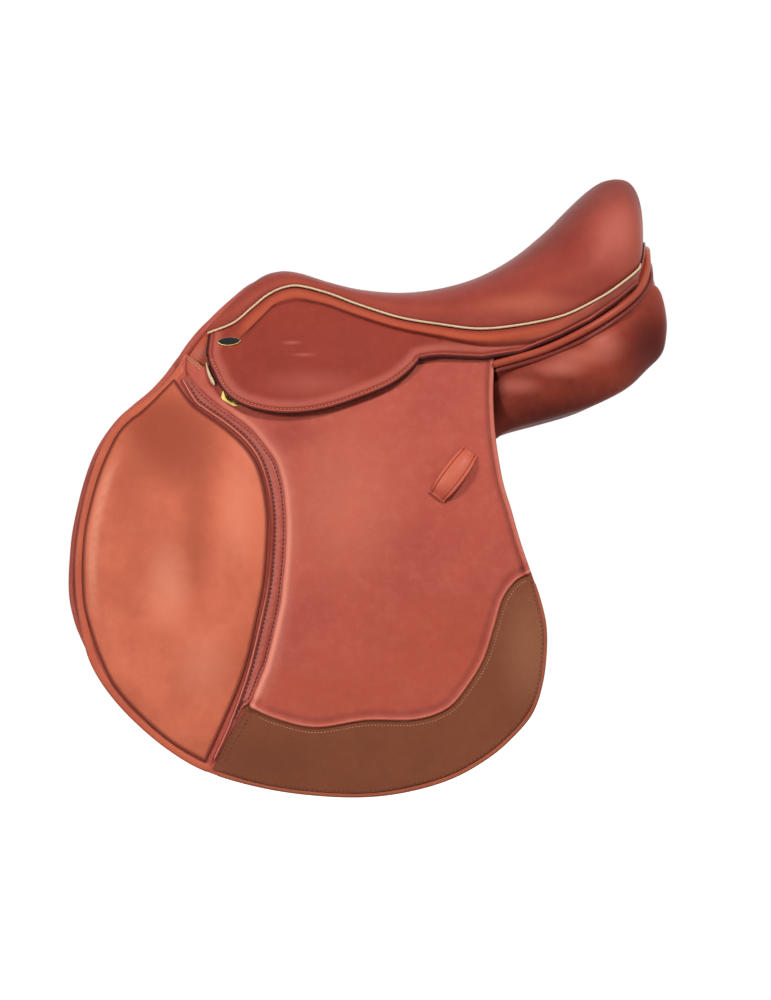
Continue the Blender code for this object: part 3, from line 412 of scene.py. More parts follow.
def right_of(path):
    """Unit vectors to the right of an open path."""
    ahead = unit_rows(np.gradient(path, axis=0))
    return np.stack([ahead[:, 1], -ahead[:, 0]], axis=1)


def inset_path(path, distance):
    """An open path moved to its right."""
    path = np.array(path, float)
    return path + distance * right_of(path)


def segments(loops):
    """Starts and ends of the segments of closed loops."""
    return np.vstack(loops), np.vstack([np.roll(loop, -1, axis=0) for loop in loops])


def distance_to(points, starts, ends):
    """Each point's distance to the nearest of the segments."""
    along = ends - starts
    square = np.maximum((along ** 2).sum(axis=1), 1e-12)
    nearest = []
    for i in range(0, len(points), BLOCK):
        offset = points[i:i + BLOCK, None, :] - starts[None]
        share = np.clip((offset * along).sum(axis=2) / square, 0.0, 1.0)
        nearest.append(np.linalg.norm(offset - share[..., None] * along, axis=2).min(axis=1))
    return np.concatenate(nearest)


def distance_3d(points, path):
    """Each point's distance to the nearest point of a finely stepped path."""
    gaps = [points[i:i + BLOCK, None, :] - path[None] for i in range(0, len(points), BLOCK)]
    return np.concatenate([np.linalg.norm(gap, axis=2).min(axis=1) for gap in gaps])


def path_distance(x, z, path):
    path = np.array(path, float)
    return distance_to(np.stack([x, z], axis=1), path[:-1], path[1:])


def inside(points, loops):
    """Whether each point lies inside the loops, counting holes."""
    result = np.zeros(len(points), bool)
    x, z = points[:, 0:1], points[:, 1:2]
    for loop in loops:
        a, b = loop, np.roll(loop, -1, axis=0)
        crosses = (a[:, 1] > z) != (b[:, 1] > z)
        rise = np.where(b[:, 1] == a[:, 1], 1e-9, b[:, 1] - a[:, 1])
        run = (b[:, 0] - a[:, 0]) * (z - a[:, 1]) / rise
        result ^= (crosses & (x < run + a[:, 0])).sum(axis=1) % 2 == 1
    return result


# The saddle's own surfaces

def hinge_width(x):
    return HINGE_WIDTH + HINGE_SPLAY * (x - HINGE_WIDTH_X)


def side_width(x, z):
    """Distance of the flap's inner face from the middle plane: steep, then hanging."""
    drop = np.maximum(HINGE_Z - z, 0.0)
    taper = np.clip((x + 150.0) / 240.0, 0.0, 1.0)
    return hinge_width(x) + (70.0 - 25.0 * taper) * (1.0 - np.exp(-drop / 150.0)) + 0.08 * drop


def on_side(x, z, offset, width=side_width):
    """Points in space at this offset from the flap's inner face."""
    return np.stack([x, -(width(x, z) + offset), z], axis=-1)


def side_normal(x, z):
    """Outward normal of the near side, in (x, y, z)."""
    step = 0.5
    slope_x = (side_width(x + step, z) - side_width(x - step, z)) / (2 * step)
    below = np.minimum(z, HINGE_Z - step)
    slope_z = (side_width(x, below + step) - side_width(x, below - step)) / (2 * step)
    normal = np.stack([-slope_x, -np.ones_like(slope_x), -slope_z], axis=-1)
    return normal / np.linalg.norm(normal, axis=-1, keepdims=True)


def hinge_normal(x):
    """The side's normal just below the hinge line."""
    return side_normal(np.array([x]), np.array([HINGE_Z - 1.0]))[0]


def seat_point(t, s):
    """The seat's outer surface: t runs along the seam, s from the middle line to the seam."""
    seam = at(RIM, t)
    middle = at(SPINE, t)
    power = float(at([(f,) for f in FULLNESS], t)[0])
    rise = max(1.0 - s ** power, 0.0) ** (1.0 / power)
    x = middle[0] + (seam[0] - middle[0]) * s ** 1.3
    z = seam[2] + (middle[1] - seam[2]) * rise
    roundness = 1.0 - 0.15 * max(1.0 - t / 3.0, 0.0)
    return np.array((x, seam[1] * s ** roundness, z))


def seam_outward(t):
    """Unit direction in plan, square to the seam and away from the seat."""
    ahead = at(RIM, min(t + 0.05, SEAM_END)) - at(RIM, max(t - 0.05, 0))
    return unit(np.array((-ahead[1], ahead[0], 0.0)))


# Meshes: a form is vertices in millimetres as (x, y, z), faces, and distance to the edge

class Form:
    """A surface or body; tone is 0 for the plain colour, towards -1 darker and towards 1 paler, mostly
    painted shade and painted highlights.
    """

    def __init__(self, points, faces, edge=None, tone=None, normals=None):
        self.points = np.array(points, float)
        self.faces = [tuple(f) for f in faces]
        self.edge = np.full(len(self.points), 20.0) if edge is None else np.array(edge, float)
        self.tone = np.zeros(len(self.points)) if tone is None else np.array(tone, float)
        self.normals = normals

    def mirrored(self):
        normals = {i: n * FLIP for i, n in self.normals.items()} if self.normals else None
        return Form(self.points * FLIP, [f[::-1] for f in self.faces], self.edge, self.tone, normals)


def joined(forms):
    """Several forms as one."""
    faces, start = [], 0
    for form in forms:
        faces += [tuple(i + start for i in face) for face in form.faces]
        start += len(form.points)
    return Form(np.vstack([f.points for f in forms]), faces, np.concatenate([f.edge for f in forms]),
                np.concatenate([f.tone for f in forms]))


def vertex_normals(points, faces):
    """Normals of triangles and four-sided faces, summed at their points."""
    normals = np.zeros_like(points)
    for size in {len(f) for f in faces}:
        group = np.array([f for f in faces if len(f) == size])
        last = points[group[:, size - 1]]
        start, turn = points[group[:, 0]], points[group[:, 1]]
        cross = np.cross(turn - start, last - start) if size == 3 else np.cross(
            points[group[:, 2]] - start, last - turn)
        for k in range(size):
            np.add.at(normals, group[:, k], cross)
    length = np.linalg.norm(normals, axis=1, keepdims=True)
    return normals / np.maximum(length, 1e-12)


def border_edges(faces):
    """The open edges of a surface, each in its face's direction."""
    seen = {(a, b): True for face in faces for a, b in zip(face, face[1:] + face[:1])}
    return [(a, b) for a, b in seen if (b, a) not in seen]


def thickened(form, thickness, roundness=1.0):
    """A closed shell: the surface, its copy inside, and a rounded rim between them."""
    points, count = form.points, len(form.points)
    normals = vertex_normals(points, form.faces)
    faces = list(form.faces) + [tuple(i + count for i in face[::-1]) for face in form.faces]
    border = border_edges(form.faces)
    outward = {}
    for a, b in border:
        ahead = points[b] - points[a]
        for i in (a, b):
            outward[i] = outward.get(i, 0.0) + np.cross(ahead, normals[i])
    extra, place = [], {}
    for i, out in outward.items():
        out = out / max(np.linalg.norm(out), 1e-9)
        place[i] = [i]
        for share in (0.25, 0.5, 0.75):
            angle = math.pi * share
            place[i].append(2 * count + len(extra))
            bulge = math.sin(angle) * thickness / 2 * roundness
            extra.append(points[i] - normals[i] * thickness * (1 - math.cos(angle)) / 2 + out * bulge)
        place[i].append(i + count)
    for a, b in border:
        for k in range(len(place[a]) - 1):
            faces.append((place[b][k], place[a][k], place[a][k + 1], place[b][k + 1]))
    rim = np.zeros(len(extra))
    return Form(np.vstack([points, points - normals * thickness, extra]), faces,
                np.concatenate([form.edge, form.edge, rim]), np.concatenate([form.tone, form.tone, rim]),
                form.normals)


def whole(form):
    """A near half and its mirror image, joined on the middle plane."""
    twin = form.mirrored()
    on_plane = np.abs(form.points[:, 1]) < 0.02
    form.points[on_plane, 1] = 0.0
    count = len(form.points)
    place = np.where(on_plane, np.arange(count), -1)
    fresh = np.flatnonzero(~on_plane)
    place[fresh] = count + np.arange(len(fresh))
    faces = form.faces + [place[list(face)].tolist() for face in twin.faces]
    return Form(np.vstack([form.points, twin.points[fresh]]), faces,
                np.concatenate([form.edge, form.edge[fresh]]),
                np.concatenate([form.tone, form.tone[fresh]]))


def sheet_points(loops, spacing, rings):
    """Triangles that fill the loops: rim points, rings inside the rim and an even grid."""
    starts, ends = segments(loops)
    made = [starts]
    for loop in loops:
        ahead = loop_ahead(loop)
        square = np.stack([-ahead[:, 1], ahead[:, 0]], axis=1)
        for ring in rings:
            for side in (-1, 1):
                near_rim = loop + square * ring * side
                near_rim = near_rim[inside(near_rim, loops)]
                if len(near_rim):
                    made.append(near_rim[distance_to(near_rim, starts, ends) > ring * 0.96])
    low, high = starts.min(axis=0), starts.max(axis=0)
    grid = np.array([(x + (i % 2) * spacing / 2, z)
                     for i, z in enumerate(np.arange(low[1], high[1], spacing * 0.87))
                     for x in np.arange(low[0], high[0], spacing)])
    grid = grid[inside(grid, loops)]
    made.append(grid[distance_to(grid, starts, ends) > rings[-1] + spacing * 0.45])
    edges, start = [], 0
    for loop in loops:
        edges += [(start + i, start + (i + 1) % len(loop)) for i in range(len(loop))]
        start += len(loop)
    found = delaunay_2d_cdt([Vector(p) for p in np.vstack(made)], edges, [], 1, 1e-4)
    points = np.array([tuple(v) for v in found[0]])
    faces = np.array([tuple(f) for f in found[2]])
    faces = faces[inside(points[faces].mean(axis=1), loops)]
    return points, faces.tolist(), distance_to(points, starts, ends) < 0.01


def value_at(value, x, z, edge):
    return value(x, z, edge) if callable(value) else np.full(len(x), float(value))


def draped(loops, low, high, spacing, rings, rounding, free=None, width=side_width, tone=0.0):
    """A sheet on the saddle's side between two offsets, with a rounded rim along its free edge."""
    points, faces, rim = sheet_points(loops, spacing, rings)
    x, z = points.T
    starts, ends = segments(loops) if free is None else (free[:-1], free[1:])
    edge = distance_to(points, starts, ends)
    edge[edge < 0.01] = 0.0
    bottom, top = value_at(low, x, z, edge), value_at(high, x, z, edge)
    middle = (bottom + top) / 2
    share = np.clip(edge / rounding, 0.0, 1.0)
    roundness = np.sqrt(1.0 - (1.0 - share) ** 2)
    top = middle + (top - middle) * roundness
    bottom = middle - (middle - bottom) * roundness
    count = len(points)
    apart = ~(rim & (edge == 0.0))
    under = np.where(apart, count + np.cumsum(apart) - 1, np.arange(count))
    outer = on_side(x, z, top, width)
    inner = on_side(x, z, bottom, width)[apart]
    made = faces + [under[face[::-1]].tolist() for face in faces]
    for a, b in border_edges(faces):
        ring = [b, a, int(under[a]), int(under[b])]
        ring = [i for k, i in enumerate(ring) if i != ring[k - 1]]
        if len(ring) > 2:
            made.append(ring)
    shade = value_at(tone, x, z, edge)
    return Form(np.vstack([outer, inner]), made, np.concatenate([edge, edge[apart]]),
                np.concatenate([shade, shade[apart]]))


def ring_faces(first, second, size):
    """Faces between two rings of points, whose first points have these numbers."""
    return [(first + k, first + (k + 1) % size, second + (k + 1) % size, second + k)
            for k in range(size)]


def lofted(rings, closed=False):
    """A body through rings of points that correspond, with capped ends or closed on itself."""
    rings = np.array(rings, float)
    count, size = rings.shape[:2]
    last = (count - 1) * size
    faces = []
    for start in range(0, last, size):
        faces += ring_faces(start, start + size, size)
    if closed:
        faces += ring_faces(last, 0, size)
    else:
        faces += [tuple(range(size))[::-1], tuple(range(last, last + size))]
    return outward_faces(Form(rings.reshape(-1, 3), faces))


def outward_faces(form):
    """The form with its faces turned outwards, judged by its signed volume."""
    volume = 0.0
    for face in form.faces:
        a = form.points[face[0]]
        for k in range(1, len(face) - 1):
            volume += np.dot(a, np.cross(form.points[face[k]], form.points[face[k + 1]]))
    if volume < 0:
        form.faces = [f[::-1] for f in form.faces]
    return form


def frames_along(path):
    """Tangent and two cross directions at each point of a path, without twist."""
    tangent = unit_rows(np.gradient(path, axis=0))
    first = np.zeros_like(path)
    guide = np.array((0.0, 0.0, 1.0))
    if abs(np.dot(guide, tangent[0])) > 0.9:
        guide = np.array((0.0, 1.0, 0.0))
    for i in range(len(path)):
        guide = unit(guide - tangent[i] * np.dot(guide, tangent[i]))
        first[i] = guide
    return tangent, first, np.cross(tangent, first)


def rope(path, radius, sides, closed=False):
    """A round body along a path, with domed ends; radius is a number or one for each point."""
    radius = np.broadcast_to(radius, len(path))
    tangent, first, second = frames_along(path)
    cosine, sine = np.cos(turns(sides))[:, None], np.sin(turns(sides))[:, None]
    circle = [cosine * a + sine * b for a, b in zip(first, second)]
    rings = [p + c * r for p, c, r in zip(path, circle, radius)]
    if closed:
        return lofted(rings, closed=True)
    start, finish = [], []
    for bend in (80, 55, 30):
        a = math.radians(bend)
        for end, sign, made in ((0, -1, start), (-1, 1, finish)):
            dome = path[end] + sign * tangent[end] * radius[end] * math.sin(a)
            made.append(dome + circle[end] * radius[end] * math.cos(a))
    return lofted(start + rings + finish[::-1])


def thread(points, normals, pitch=3.6, length=2.7, radius=0.42):
    """Stitches laid end to end along a line in space, each sunk a little at its ends."""
    run = run_along(points)
    places = np.arange(pitch / 2, run[-1] - pitch / 3, pitch)
    centre = looked_up(places, run, points)
    reach = 0.8
    along = unit_rows(looked_up(places + reach, run, points) - looked_up(places - reach, run, points))
    up = looked_up(places, run, normals)
    up = unit_rows(up - along * (up * along).sum(axis=1)[:, None])
    side = np.cross(along, up)
    sides, shares = 6, (-1.0, -0.7, 0.0, 0.7, 1.0)
    template = []
    for share in shares:
        size = radius * (1.0 - 0.75 * share ** 4)
        sink = radius * (0.1 + 0.9 * share ** 4)
        for k in range(sides):
            angle = 2 * math.pi * k / sides
            template.append((share * length / 2, size * math.cos(angle), size * math.sin(angle) - sink))
    a, b, c = np.array(template).T[:, :, None]
    made = (centre[:, None] + along[:, None] * a + side[:, None] * b + up[:, None] * c).reshape(-1, 3)
    size = len(template)
    one = lofted(made[:size].reshape(len(shares), sides, 3)).faces
    return Form(made, [tuple(i + n * size for i in face) for n in range(len(centre)) for face in one])


def side_line(path, offset):
    """A line of (x, z) points as points in space at this offset, with the side's normals."""
    path = evenly(path, 1.2)
    x, z = path.T
    return on_side(x, z, offset(x, z) if callable(offset) else offset), side_normal(x, z)


def grid_faces(rows, columns):
    """Faces of a grid of points, rows by columns."""
    return [(i * columns + k, i * columns + k + 1, (i + 1) * columns + k + 1, (i + 1) * columns + k)
            for i in range(rows - 1) for k in range(columns - 1)]


def grid_form(grid, towards):
    """An open surface from rows of points, its faces turned to the side that the direction points to."""
    grid = np.array(grid, float)
    return turned(Form(grid.reshape(-1, 3), grid_faces(*grid.shape[:2])), towards)


def turned(form, towards):
    """The open surface with its faces turned to the side that the direction points to."""
    normals = vertex_normals(form.points, form.faces)
    if (normals @ np.array(towards, float)).sum() < 0:
        form.faces = [f[::-1] for f in form.faces]
    return form


# Materials

def feed(tree, value, target):
    """Gives an input a socket, a colour or another value."""
    if isinstance(value, bpy.types.NodeSocket):
        tree.links.new(value, target)
    elif target.type == "RGBA":
        target.default_value = (*value, 1.0)
    else:
        target.default_value = value


def add_node(tree, kind, inputs=None, **settings):
    """A shader node with these settings; inputs are given by name or number."""
    made = tree.nodes.new(f"ShaderNode{kind}")
    for name, value in settings.items():
        setattr(made, name, value)
    for name, value in (inputs or {}).items():
        feed(tree, value, made.inputs[name])
    return made


def noise(tree, coordinates, scale, detail=4.0, roughness=0.55):
    inputs = {"Scale": scale, "Detail": detail, "Roughness": roughness, "Vector": coordinates}
    return add_node(tree, "TexNoise", inputs).outputs["Fac"]


def spread(tree, source, low, high, to_low=0.0, to_high=1.0):
    """The value mapped from one range to another, held at the ends."""
    inputs = {"From Min": low, "From Max": high, "To Min": to_low, "To Max": to_high, "Value": source}
    return add_node(tree, "MapRange", inputs, interpolation_type="SMOOTHSTEP").outputs["Result"]


def mixed(tree, factor, first, second):
    """Two colours mixed; each is a colour or a socket."""
    return add_node(tree, "Mix", {0: factor, 6: first, 7: second}, data_type="RGBA").outputs[2]


def maths(tree, operation, first, second):
    return add_node(tree, "Math", {0: first, 1: second}, operation=operation).outputs[0]


def new_material(name, roughness, metallic=0.0):
    made = bpy.data.materials.new(name)
    made.use_nodes = True
    tree = made.node_tree
    shader = tree.nodes["Principled BSDF"]
    shader.inputs["Roughness"].default_value = roughness
    shader.inputs["Metallic"].default_value = metallic
    return made, tree, shader, add_node(tree, "TexCoord").outputs["Object"]


def bump(tree, shader, height, strength, distance):
    made = add_node(tree, "Bump", {"Strength": strength, "Distance": distance, "Height": height})
    feed(tree, made.outputs["Normal"], shader.inputs["Normal"])


def soft_spot(tree, coordinates, x, z, reach_x, reach_z):
    """1 at a place on the side, falling to 0 at its reach."""
    any_width = 100.0
    inputs = {"Location": (x * MM, 0.0, z * MM), "Scale": (reach_x * MM, any_width, reach_z * MM),
              "Vector": coordinates}
    place = add_node(tree, "Mapping", inputs, vector_type="TEXTURE").outputs["Vector"]
    length = add_node(tree, "VectorMath", {0: place}, operation="LENGTH")
    return spread(tree, length.outputs["Value"], 0.0, 1.0, 1.0, 0.0)


def banded(tree, edge, base, band):
    """The colour changed in a band of distances from the edge: start, full, fade, end, colour, strength."""
    start, full, fade, end, colour, strength = band
    comes = spread(tree, edge, start, full, 0.0, strength)
    goes = spread(tree, edge, fade, end, 1.0, 0.0)
    return mixed(tree, maths(tree, "MULTIPLY", comes, goes), base, colour)


def leather(name, colour, dark, wear_and_highlight, roughness=0.45, cloud=0.55, grain=0.3, bands=(), spots_and_painted_light=(),
            specular=0.22):
    """Dyed hide: cloudy colour, pores and fine creases, with soft spots, bands near its edges and the tone
    attribute, much of which is painted highlight and painted shade.
    """
    made, tree, shader, coordinates = new_material(name, roughness)
    large = spread(tree, noise(tree, coordinates, 11.0, 5.0, 0.6), 0.36, 0.66, 0.0, cloud)
    base = mixed(tree, large, colour, dark)
    small = spread(tree, noise(tree, coordinates, 85.0, 6.0, 0.65), 0.4, 0.75, 0.0, 0.09)
    base = mixed(tree, small, base, wear_and_highlight)
    # Soft spots of another colour; many of them are painted highlights and painted shade.
    for x, z, reach_x, reach_z, strength, spot_colour in spots_and_painted_light:
        spot = maths(tree, "MULTIPLY", soft_spot(tree, coordinates, x, z, reach_x, reach_z), strength)
        base = mixed(tree, spot, base, spot_colour)
    edge, tone = (add_node(tree, "Attribute", attribute_name=n).outputs["Fac"] for n in ("edge", "tone"))
    for band in bands:
        base = banded(tree, edge, base, band)
    # Tone above 0 paints highlights in the wear colour, tone below 0 paints shade in a deep copy of the dark
    # colour.
    base = mixed(tree, spread(tree, tone, 0.0, 1.0, 0.0, 0.8), base, wear_and_highlight)
    base = mixed(tree, spread(tree, tone, -1.0, 0.0, 0.92, 0.0), base, tuple(c * 0.3 for c in dark))
    feed(tree, base, shader.inputs["Base Color"])
    cells = add_node(tree, "TexVoronoi", {"Scale": 950.0, "Vector": coordinates}, feature="SMOOTH_F1")
    creases = noise(tree, coordinates, 330.0, 5.0, 0.6)
    height = maths(tree, "ADD", cells.outputs["Distance"], maths(tree, "MULTIPLY", creases, 1.2))
    bump(tree, shader, height, grain, 0.0004)
    feed(tree, spread(tree, large, 0.0, 1.0, roughness, roughness + 0.12), shader.inputs["Roughness"])
    shader.inputs["Specular IOR Level"].default_value = specular
    return made


def twisted(name, colour, scale=1400.0, roughness=0.7):
    """Thread or cord: fine diagonal strands."""
    made, tree, shader, coordinates = new_material(name, roughness)
    wave = add_node(tree, "TexWave", {"Scale": scale, "Distortion": 0.6, "Vector": coordinates},
                    bands_direction="DIAGONAL").outputs["Fac"]
    shade = spread(tree, wave, 0.0, 1.0, 0.35, 0.0)
    dark = tuple(c * 0.55 for c in colour)
    cloudy = spread(tree, noise(tree, coordinates, 60.0), 0.4, 0.7, 0.0, 0.25)
    base = mixed(tree, cloudy, mixed(tree, shade, colour, dark), dark)
    feed(tree, base, shader.inputs["Base Color"])
    bump(tree, shader, wave, 0.4, 0.0002)
    return made


def metal(name, colour, roughness, tarnish):
    """Cast and polished metal with faint scratches and dull patches."""
    made, tree, shader, coordinates = new_material(name, roughness, 1.0)
    patches = spread(tree, noise(tree, coordinates, 70.0, 5.0), 0.45, 0.75, 0.0, 0.6)
    feed(tree, mixed(tree, patches, colour, tarnish), shader.inputs["Base Color"])
    scratches = noise(tree, coordinates, 900.0, 3.0)
    dull = spread(tree, scratches, 0.3, 0.7, roughness - 0.06, roughness + 0.14)
    feed(tree, dull, shader.inputs["Roughness"])
    bump(tree, shader, scratches, 0.12, 0.0002)
    return made


def wood(name, colour, dark):
    """Laminated beech: thin plies and a fine grain along them."""
    made, tree, shader, coordinates = new_material(name, 0.55)
    inputs = {"Scale": 180.0, "Distortion": 3.0, "Detail": 3.0, "Vector": coordinates}
    wave = add_node(tree, "TexWave", inputs, bands_direction="Z").outputs["Fac"]
    fine = spread(tree, noise(tree, coordinates, 260.0, 6.0), 0.35, 0.7, 0.0, 0.5)
    base = mixed(tree, spread(tree, wave, 0.2, 0.9, 0.0, 0.6), colour, dark)
    feed(tree, mixed(tree, fine, base, dark), shader.inputs["Base Color"])
    bump(tree, shader, wave, 0.2, 0.0003)
    return made


def web(name, colour, dark):
    """Woven girth web: a square weave."""
    made, tree, shader, coordinates = new_material(name, 0.9)
    waves = [add_node(tree, "TexWave", {"Scale": 320.0, "Vector": coordinates}, bands_direction=way)
             for way in ("X", "Y")]
    weave = maths(tree, "MULTIPLY", *(wave.outputs["Fac"] for wave in waves))
    base = mixed(tree, spread(tree, weave, 0.0, 0.8), dark, colour)
    cloudy = spread(tree, noise(tree, coordinates, 40.0), 0.4, 0.7, 0.0, 0.3)
    feed(tree, mixed(tree, cloudy, base, dark), shader.inputs["Base Color"])
    bump(tree, shader, weave, 0.6, 0.0006)
    return made


def foam(name, colour, dark):
    """Open-cell foam."""
    made, tree, shader, coordinates = new_material(name, 0.95)
    cells = add_node(tree, "TexVoronoi", {"Scale": 700.0, "Vector": coordinates}, feature="F1")
    shade = spread(tree, cells.outputs["Distance"], 0.1, 0.7)
    feed(tree, mixed(tree, shade, colour, dark), shader.inputs["Base Color"])
    bump(tree, shader, cells.outputs["Distance"], 0.5, 0.0006)
    return made


# Lighter and darker places on a hide: x, z, reach in x, reach in z, strength, colour. Many are painted
# highlights and painted shade, as noted at each table.
# The first three are painted shade over the top of the knee pad; the others make it darker or paler in
# places.
KNEE_SHADE_AND_BLOTCHES = (
    (-238, 12, 44, 34, 0.9, TAN_DEEP), (-222, -4, 60, 60, 0.75, TAN_DEEP),
    (-226, 10, 80, 80, 0.95, TAN_DARK), (-198, -90, 26, 120, 0.6, TAN_DARK),
    (-265, -40, 40, 60, 0.4, TAN_DARK), (-225, -140, 30, 60, 0.5, TAN_WEAR_AND_HIGHLIGHT),
    (-160, -70, 26, 80, 0.35, TAN_WEAR_AND_HIGHLIGHT), (-190, -215, 40, 50, 0.3, TAN_WEAR_AND_HIGHLIGHT),
)
# The last one is a painted shadow on the flap just below the skirt's lower edge.
FLAP_SMUDGES_AND_SKIRT_SHADOW = (
    (-60, -60, 80, 110, 0.45, RED_WEAR_AND_HIGHLIGHT), (40, -200, 110, 70, 0.5, RED_BROWN),
    (-60, -240, 110, 40, 0.5, RED_BROWN), (-110, 5, 60, 26, 0.4, RED_DARK),
)
SKIRT_SMUDGES = (
    (-70, 100, 90, 34, 0.35, RED_DARK), (-90, 52, 70, 20, 0.25, PINK),
    (-110, 92, 14, 3, 0.4, PINK), (-98, 80, 16, 3, 0.35, PINK),
)
# Painted highlights: a broad one on the cantle's side and a band above the seam towards the back.
SEAT_PAINTED_HIGHLIGHTS = ((210, 198, 46, 62, 0.55, PINK), (120, 128, 70, 16, 0.35, RED_WEAR_AND_HIGHLIGHT))
PATCH_SMUDGES = ((118, -200, 40, 80, 0.6, BROWN_WORN), (-130, -300, 90, 40, 0.4, BROWN_DARK))
# Painted highlights along the panel's upper bulge; painted shade on its lower part, at its back and as a
# shadow beside the flap's rear edge.
PANEL_PAINTED_LIGHT_AND_SHADE = (
    (150, 66, 34, 13, 0.75, PANEL_WEAR_AND_HIGHLIGHT), (192, 88, 30, 18, 0.7, PANEL_WEAR_AND_HIGHLIGHT),
    (108, 49, 32, 12, 0.5, PANEL_WEAR_AND_HIGHLIGHT), (175, 14, 130, 34, 0.85, PANEL_DARK),
    (240, 92, 52, 66, 0.9, PANEL_DARK), (172, 77, 44, 13, 0.6, PANEL_WEAR_AND_HIGHLIGHT),
    (86, 36, 13, 70, 0.9, PANEL_DARK),
)
# Bands along an edge, by distance from it: start, full, fade, end, colour, strength; some are painted shade
# and painted highlights.
RIM_PALE = ((-1.0, -0.5, 0.4, 3.6, RED_WEAR_AND_HIGHLIGHT, 0.5),)
# Painted shade where the knee pad dips into its seam.
KNEE_EDGE_SHADE = ((-1.0, -0.5, 1.2, 4.5, RED_DEEP, 0.9),)
PATCH_BANDS = ((-1.0, -0.5, 0.3, 1.0, BROWN_DARK, 0.8),)
STRAP_BANDS = ((-1.0, -0.5, 0.2, 2.4, RED_DEEP, 0.8),)
# Skirt's edge: a pink painted highlight on the puff 8 to 17 mm in, a dark edge strip, a near-black painted
# shadow where the rim turns under, a pale painted highlight on the lip and painted shade in the stitch
# groove.
SKIRT_EDGE_SHADE_AND_HIGHLIGHTS = (
    (5.0, 8.0, 8.5, 17.0, PINK, 0.45), (-1.0, -0.5, 2.2, 3.2, RED_DEEP, 0.9),
    (-1.0, -0.5, 0.8, 2.0, srgb(48, 16, 14), 0.95), (2.6, 3.3, 3.5, 4.2, PINK, 0.5),
    (4.2, 4.8, 5.2, 5.8, RED_DARK, 0.6),
)
# The skirt's wear colour ORANGE also colours the painted highlight on the band's rolled strip.
SKIRT_LOOK = (srgb(144, 55, 42), srgb(122, 46, 36), ORANGE, 0.44, 0.35)
LOOKS = {
    "flap": leather("flap_hide", RED, RED_DARK, RED_WEAR_AND_HIGHLIGHT, 0.52, 0.3, bands=RIM_PALE, spots_and_painted_light=FLAP_SMUDGES_AND_SKIRT_SHADOW,
                    specular=0.14),
    "face": leather("flap_face_hide", RED, RED_DARK, PINK_PALE, 0.52, 0.3, spots_and_painted_light=FLAP_SMUDGES_AND_SKIRT_SHADOW,
                    specular=0.14),
    "binding": leather("binding_hide", srgb(190, 92, 64), RED_DARK, RED_WEAR_AND_HIGHLIGHT, 0.5, 0.35),
    "front_roll": leather("front_roll_hide", srgb(178, 84, 68), RED_DARK, RED_WEAR_AND_HIGHLIGHT, 0.5, 0.4),
    "skirt": leather("skirt_hide", *SKIRT_LOOK, bands=SKIRT_EDGE_SHADE_AND_HIGHLIGHTS, spots_and_painted_light=SKIRT_SMUDGES, specular=0.14),
    "seat": leather("seat_hide", SEAT, SEAT_DARK, SEAT_WEAR_AND_HIGHLIGHT, 0.5, 0.4, 0.25, spots_and_painted_light=SEAT_PAINTED_HIGHLIGHTS,
                    specular=0.08),
    "knee": leather("knee_hide", TAN, TAN_DARK, TAN_WEAR_AND_HIGHLIGHT, 0.52, 0.45, 0.35,
                    KNEE_EDGE_SHADE, KNEE_SHADE_AND_BLOTCHES, specular=0.12),
    "patch": leather("patch_hide", BROWN, BROWN_DARK, BROWN_WORN, 0.62, 0.3, 0.35,
                     PATCH_BANDS, PATCH_SMUDGES, specular=0.12),
    "patch_edge": leather("patch_edge_hide", srgb(160, 82, 54), BROWN_DARK, BROWN_WORN, 0.6, 0.3, 0.3),
    "welt": leather("welt_hide", srgb(160, 70, 56), RED_DARK, PINK_PALE, 0.42, 0.4),
    "panel": leather("panel_hide", PANEL_RED, PANEL_DARK, PANEL_WEAR_AND_HIGHLIGHT, 0.4, 0.5, 0.2, spots_and_painted_light=PANEL_PAINTED_LIGHT_AND_SHADE,
                     specular=0.07),
    "strap": leather("strap_hide", srgb(138, 58, 42), RED_DARK, RED_WEAR_AND_HIGHLIGHT, 0.5, 0.5,
                     bands=STRAP_BANDS),
    "keeper": leather("keeper_hide", srgb(196, 88, 64), RED_DARK, RED_WEAR_AND_HIGHLIGHT, 0.46, 0.3),
    "roll": leather("roll_hide", srgb(170, 74, 50), RED_DARK, ORANGE, 0.42, 0.4),
    "roll_dark": leather("lower_roll_hide", srgb(116, 44, 34), RED_DEEP, ORANGE, 0.42, 0.5),
    "piping": twisted("piping_cord", CREAM, 500.0, 0.6),
    "thread": twisted("dark_thread", THREAD),
    "thread_brown": twisted("brown_thread", THREAD_BROWN),
    "thread_pale": twisted("pale_thread", THREAD_PALE),
    "brass": metal("polished_brass", srgb(236, 208, 118), 0.22, srgb(168, 124, 60)),
    "steel": metal("forged_steel", srgb(176, 176, 178), 0.34, srgb(120, 116, 112)),
    "beech": wood("laminated_beech", srgb(204, 166, 122), srgb(150, 108, 70)),
    "webbing": web("girth_weave", srgb(214, 204, 182), srgb(150, 138, 116)),
    "foam": foam("seat_foam_cells", srgb(230, 222, 196), srgb(188, 176, 140)),
    "enamel": leather("plate_enamel", srgb(18, 18, 20), srgb(10, 10, 12), srgb(40, 40, 44), 0.3, 0.4,
                      0.05),
}


# Placing pieces

def add_object(name, data):
    made = bpy.data.objects.new(name, data)
    bpy.context.scene.collection.objects.link(made)
    return made


def smooth_shaded(mesh, sharp):
    """Shades the mesh smooth but for edges sharper than this many degrees."""
    mesh.polygons.foreach_set("use_smooth", [True] * len(mesh.polygons))
    mesh.set_sharp_from_angle(angle=math.radians(sharp))


